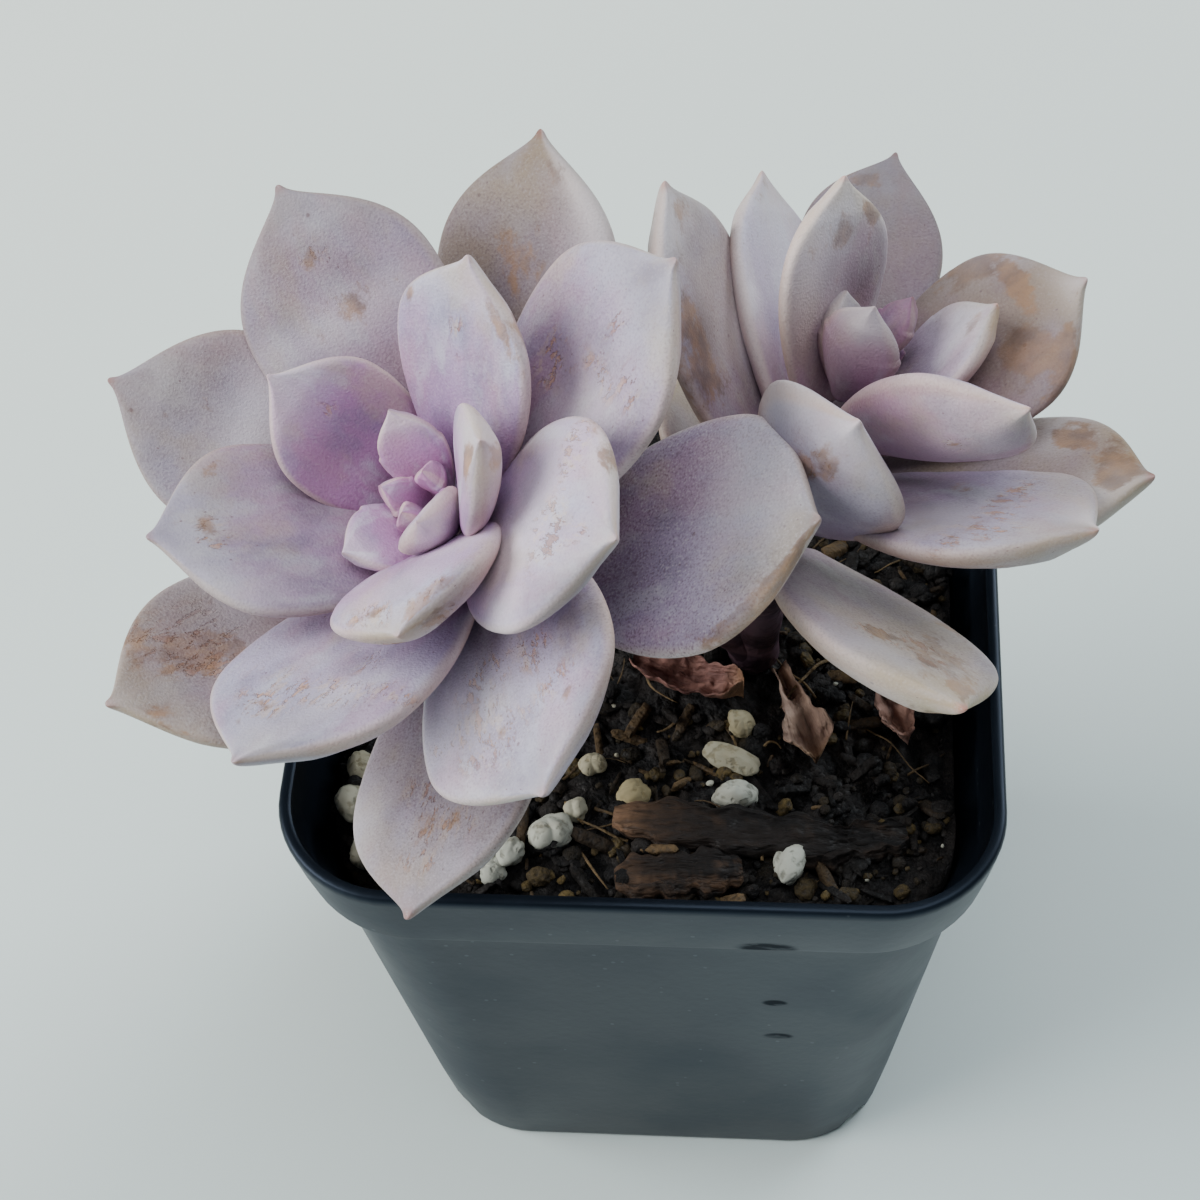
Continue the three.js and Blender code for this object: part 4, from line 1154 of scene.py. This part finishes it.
def build_bark():
    """Chips of bark: a flat rounded section, of cosines and sines raised to small powers, carried along a
    line. Sines make its edge ragged and ridge its faces along the grain, and waves lift it."""
    for index, (x, y, a, b, c, turn, streaks, worn) in enumerate(BARK):
        rows, columns = BARK_GRID
        t = np.linspace(-1, 1, rows)
        theta = np.linspace(0, 2 * np.pi, columns, endpoint=False)
        seed = 1.9 * index + 0.8
        ragged = 1 + 0.14 * np.sin(11 * t + seed) + 0.08 * np.sin(23 * t + 2 * seed)
        half = b * ragged * (1 - 0.6 * np.abs(t) ** 6)
        u = np.sign(np.cos(theta)) * np.abs(np.cos(theta)) ** 0.6
        v = np.sign(np.sin(theta)) * np.abs(np.sin(theta)) ** 0.8
        grain = 0.16 * np.sin(9 * u + 3 * seed) + 0.1 * np.sin(21 * u + seed)
        high = c * (1 - 0.4 * t[:, None] ** 4) * (v + grain * np.abs(v))
        flat = np.stack([t[:, None] * a + 0 * u, half[:, None] * u, high], -1)
        flat[..., 2] += 0.28 * waves(flat, 40 + index, 1.1, 4)
        z = mix_height(x, y) + 0.5 * c
        rings = set_down(flat, x, y, z, turn)
        points, faces = capped(rings, rings[0].mean(0), rings[-1].mean(0))
        stretch = points * np.array([0.3, 1.2, 1.0])
        tint = np.clip(waves(stretch, 77 + index, 1.4, 5, 0.7), 0, 1) * streaks
        worn_end = np.exp(-np.clip(points[:, 0] - (x - a), 0, None) / 2.4) * worn
        tint = np.maximum(tint, worn_end * (points[:, 2] > z))
        name = f"bark_chip_{index + 1}"
        parts = [(points, faces)]
        make_piece(f"fine_{name}", parts, BARK_WOOD, (name,), {"tint": tint}, sharp=50)


def build_dry_leaves():
    """Dried leaves: a thin blade between two faces. Its half width is a sine, ragged by finer sines; it
    is folded along its middle by a power of the place across, curled lengthways by a sine and crumpled
    by waves."""
    for index, row in enumerate(DRY_LEAVES):
        x, y, heading, length, width, curl, roll, fullness, narrowing, beige = row
        rows, half_columns = DRY_LEAF_GRID
        seed = 2.1 * index + 0.5
        s = np.linspace(0, 1, rows)
        u = np.concatenate([np.linspace(-1, 1, half_columns), np.linspace(1, -1, half_columns)])
        side = np.concatenate([np.ones(half_columns), -np.ones(half_columns)])
        angle = math.radians(curl) * (s - 0.5)
        half = width / 2 * (0.3 + 0.7 * np.sin(np.pi * s ** fullness))
        half = half * (1 - narrowing * np.clip((s - 0.9) / 0.1, 0, 1) ** 2)
        half = half * (1 + 0.1 * np.sin(15 * s + seed) + 0.06 * np.sin(37 * s + seed))
        fold = (roll + 0.08) * width * np.abs(u) ** 1.4
        crumple = 0.35 * np.sin(3.4 * np.pi * s[:, None] + 2.5 * u + seed)
        lift = fold + crumple + (0.5 * np.sin(angle) * length * (s - 0.5))[:, None]
        inward = 1 - 0.2 * np.abs(u) ** 2 * np.sin(np.pi * s[:, None])
        flat = np.stack([s[:, None] * length + 0 * u, -half[:, None] * u * inward, lift], -1)
        flat[..., 2] += 0.35 * waves(flat[..., :2], 90 + index, 1.9, 4, 0.6) + side * 0.18
        middle_x = x + 0.5 * length * math.cos(math.radians(heading))
        middle_y = y + 0.5 * length * math.sin(math.radians(heading))
        rings = set_down(flat, x, y, mix_height(middle_x, middle_y) + 0.7, heading)
        points, faces = capped(rings, rings[0].mean(0), rings[-1].mean(0))
        blade = np.vstack([flat.reshape(-1, 3), [[0, 0, 0]], [[length, 0, 0]]]) * MM
        name = f"dry_leaf_{index + 1}"
        attributes = {"blade": blade, "tint": np.full(len(points), beige)}
        make_piece(f"fine_{name}", [(points, faces)], DRIED_LEAF, (name,), attributes)


def scatter(count, seed, margin):
    """Places drawn evenly over the mix, inside its round-cornered outline and clear of the trunk."""
    random = np.random.default_rng(seed)
    reach = body_half(POT_HEIGHT - LIP_DEPTH) - WALL - GAP - margin
    spots = random.uniform(-reach, reach, (count * 2, 2))
    corner = RIM_CORNER - WALL - margin
    beyond = np.clip(np.abs(spots) - (reach - corner), 0, None)
    inside = np.hypot(beyond[:, 0], beyond[:, 1]) < corner
    clear = np.hypot(spots[:, 0] - TRUNK_FOOT[0], spots[:, 1] - TRUNK_FOOT[1]) > TRUNK_RADIUS + 0.8
    for x, y, heading, length, width, *_ in DRY_LEAVES:
        run = np.array([math.cos(math.radians(heading)), math.sin(math.radians(heading))])
        ahead = (spots - (x, y)) @ run
        aside = (spots - (x, y)) @ (-run[1], run[0])
        clear &= np.hypot(ahead - np.clip(ahead, 0, length), aside) > 0.42 * width
    return spots[inside & clear][:count], random


def build_strewn(name, material, count, seed, length, slim, boxy, tints, rise):
    """Small pieces strewn over the mix, all in one object: balls whose points are raised to a power, so
    that they are boxy, each with its own length, slimness, tilt and turn, dented by waves."""
    spots, random = scatter(count, seed, 0.8)
    n = len(spots)
    ball, faces = capped(ball_rings(*CRUMB_GRID), (0, 0, -1), (0, 0, 1))
    ball = np.sign(ball) * np.abs(ball) ** boxy
    long = length[0] + (length[1] - length[0]) * random.random(n) ** 2.2
    sizes = np.stack([long, long * random.uniform(*slim, n), long * random.uniform(*slim, n) * 0.8], -1)
    shape = ball[None] * sizes[:, None]
    shape *= (1 + 0.22 * waves(ball[None] + 9.0 * random.random((n, 1, 3)), seed, 2.4, 3))[..., None]
    turn = random.uniform(0, 2 * np.pi, n)[:, None]
    tilt = random.normal(0, 0.28, n)[:, None]
    x = shape[..., 0] * np.cos(tilt) - shape[..., 2] * np.sin(tilt)
    z = shape[..., 0] * np.sin(tilt) + shape[..., 2] * np.cos(tilt)
    y = shape[..., 1]
    place = np.stack([
        spots[:, :1] + x * np.cos(turn) - y * np.sin(turn),
        spots[:, 1:] + x * np.sin(turn) + y * np.cos(turn),
        mix_height(spots[:, 0], spots[:, 1])[:, None] + rise * sizes[:, 2:] + z,
    ], -1)
    reach = body_half(POT_HEIGHT - LIP_DEPTH) - WALL - 0.1
    place[..., :2] = np.clip(place[..., :2], -reach, reach)
    each = len(ball)
    starts = (np.arange(n) * each)[:, None, None]
    faces = [(corners + starts).reshape(-1, corners.shape[1]) for corners in faces]
    tint = tints[0] + (tints[1] - tints[0]) * random.random(n) ** 6
    for x, y, spread, strength in GOLDEN:
        far = np.hypot(spots[:, 0] - x, spots[:, 1] - y)
        tint = np.maximum(tint, strength * np.exp(-((far / spread) ** 4)) * random.uniform(0.5, 1, n))
    tint = np.repeat(tint, each)
    make_piece(name, [(place.reshape(-1, 3), faces)], material, (), {"tint": tint}, sharp=55)


def build_fibres(count, seed):
    """Thin roots and fibres: round sections, thinner to one end, along short arcs that lie on the mix."""
    spots, random = scatter(count, seed, 4.0)
    parts = []
    tint = []
    reach = body_half(POT_HEIGHT - LIP_DEPTH) - WALL - GAP - 1.0
    theta = np.linspace(0, 2 * np.pi, 6, endpoint=False)
    for x, y in spots:
        heading = random.uniform(0, 2 * np.pi)
        turn = random.normal(0, 0.7)
        length = random.uniform(2, 10)
        radius = random.uniform(0.08, 0.24)
        t = np.linspace(0, 1, 14)
        angle = heading + turn * t
        line_x = np.clip(x + np.cumsum(np.cos(angle)) * length / 14, -reach, reach)
        line_y = np.clip(y + np.cumsum(np.sin(angle)) * length / 14, -reach, reach)
        lift = mix_height(line_x, line_y) + 0.35 + random.uniform(0, 0.9) * np.sin(np.pi * t)
        line = np.stack([line_x, line_y, lift], -1)
        side = np.stack([-np.sin(angle), np.cos(angle), 0 * angle], -1)
        up = np.array([0, 0, 1.0])
        width = radius * (1 - 0.6 * t)
        around = side[:, None] * np.cos(theta)[None, :, None] + up * np.sin(theta)[None, :, None]
        rings = line[:, None] + around * width[:, None, None]
        parts.append(capped(rings, line[0], line[-1]))
        tint.append(np.full(len(parts[-1][0]), random.uniform(0.2, 1.0)))
    make_piece("mix_fibres", parts, ROOT_FIBRE, (), {"tint": np.concatenate(tint)})


for number, (spec, wear) in enumerate(LEFT_LEAVES, 1):
    build_leaf(LEFT, "left", number, spec, wear, number)
for number, (spec, wear) in enumerate(RIGHT_LEAVES, 1):
    build_leaf(RIGHT, "right", number, spec, wear, number + 30)
build_heart(LEFT, "left_heart", LEFT_HEART, (0.0, 0.95, 0.0, 0.05, 0.05))
build_heart(RIGHT, "right_heart", RIGHT_HEART, (0.3, 0.85, 0.75, 0.05, 0.1))
build_stem()
build_pot()
build_mix()
build_perlite()
build_bark()
build_dry_leaves()
build_strewn("mix_crumbs", MIX_EARTH, 1300, 5,
             length=(0.25, 1.2), slim=(0.6, 1.0), boxy=0.75, tints=(0.0, 0.6), rise=0.3)
build_strewn("mix_shards", SPLINTER, 560, 6,
             length=(0.6, 3.0), slim=(0.12, 0.34), boxy=0.5, tints=(0.0, 0.8), rise=0.45)
build_strewn("perlite_fines", PERLITE_CHALK, 26, 8,
             length=(0.2, 0.7), slim=(0.7, 1.0), boxy=0.9, tints=(0.1, 0.9), rise=0.5)
build_fibres(95, 9)


# Floor, light and camera

def build_floor():
    """A wide pale floor, painted paler to the back and left and darker and bluer to the front and right:
    painted light and shade.
    """
    material, shader, place = new_material("pale_floor")
    # Painted light and shade: the colour runs from darker and bluer at the front right to paler at the back
    # left
    run = wire("ShaderNodeVectorMath", {0: place, 1: (-0.4, 0.8, 0.0)}, operation="DOT_PRODUCT")
    links = {"Value": run.outputs["Value"], "From Min": -0.05, "From Max": 0.17}
    far = wire("ShaderNodeMapRange", links)
    colour = blend(far.outputs[0], (208, 224, 224), (231, 241, 235))
    connect(shader, {"Base Color": colour, "Roughness": 0.7})
    corners = [(x * FLOOR_REACH, y * FLOOR_REACH, 0) for x, y in ((-1, -1), (1, -1), (1, 1), (-1, 1))]
    mesh = new_mesh("floor", corners, [(0, 1, 2, 3)])
    mesh.materials.append(material)
    link_object("floor", mesh)


def stand(made, right, up, back, place):
    """Puts a lamp or camera in its place, its axes along these directions."""
    matrix = Matrix(np.column_stack([right, up, back]).tolist()).to_4x4()
    matrix.translation = place
    made.matrix_world = matrix


def build_light():
    """A faint sky and round lamps aimed at the plant."""
    world = bpy.data.worlds.new("soft_daylight")
    world.use_nodes = True
    sky = world.node_tree.nodes["Background"]
    sky.inputs[0].default_value = SKY_COLOUR
    sky.inputs[1].default_value = SKY_STRENGTH
    bpy.context.scene.world = world
    for name, (place, width, power, colour) in LAMPS.items():
        data = bpy.data.lights.new(name, "AREA")
        data.shape = "DISK"
        data.size = width
        data.energy = power
        data.color = colour
        back = np.array(place) - LAMP_AIM
        back /= np.linalg.norm(back)
        side = np.cross([0, 0, 1.0], back)
        side /= np.linalg.norm(side)
        stand(link_object(name, data), side, np.cross(back, side), back, place)


def build_camera():
    """The camera, where the plant is seen from."""
    data = bpy.data.cameras.new("camera")
    data.lens = CAMERA_LENS
    data.sensor_width = CAMERA_SENSOR
    data.clip_start = 0.01
    data.clip_end = 20
    camera = link_object("camera", data)
    stand(camera, CAMERA_RIGHT, CAMERA_UP, CAMERA_BACK, CAMERA_AT)
    bpy.context.scene.camera = camera


build_floor()
build_light()
build_camera()
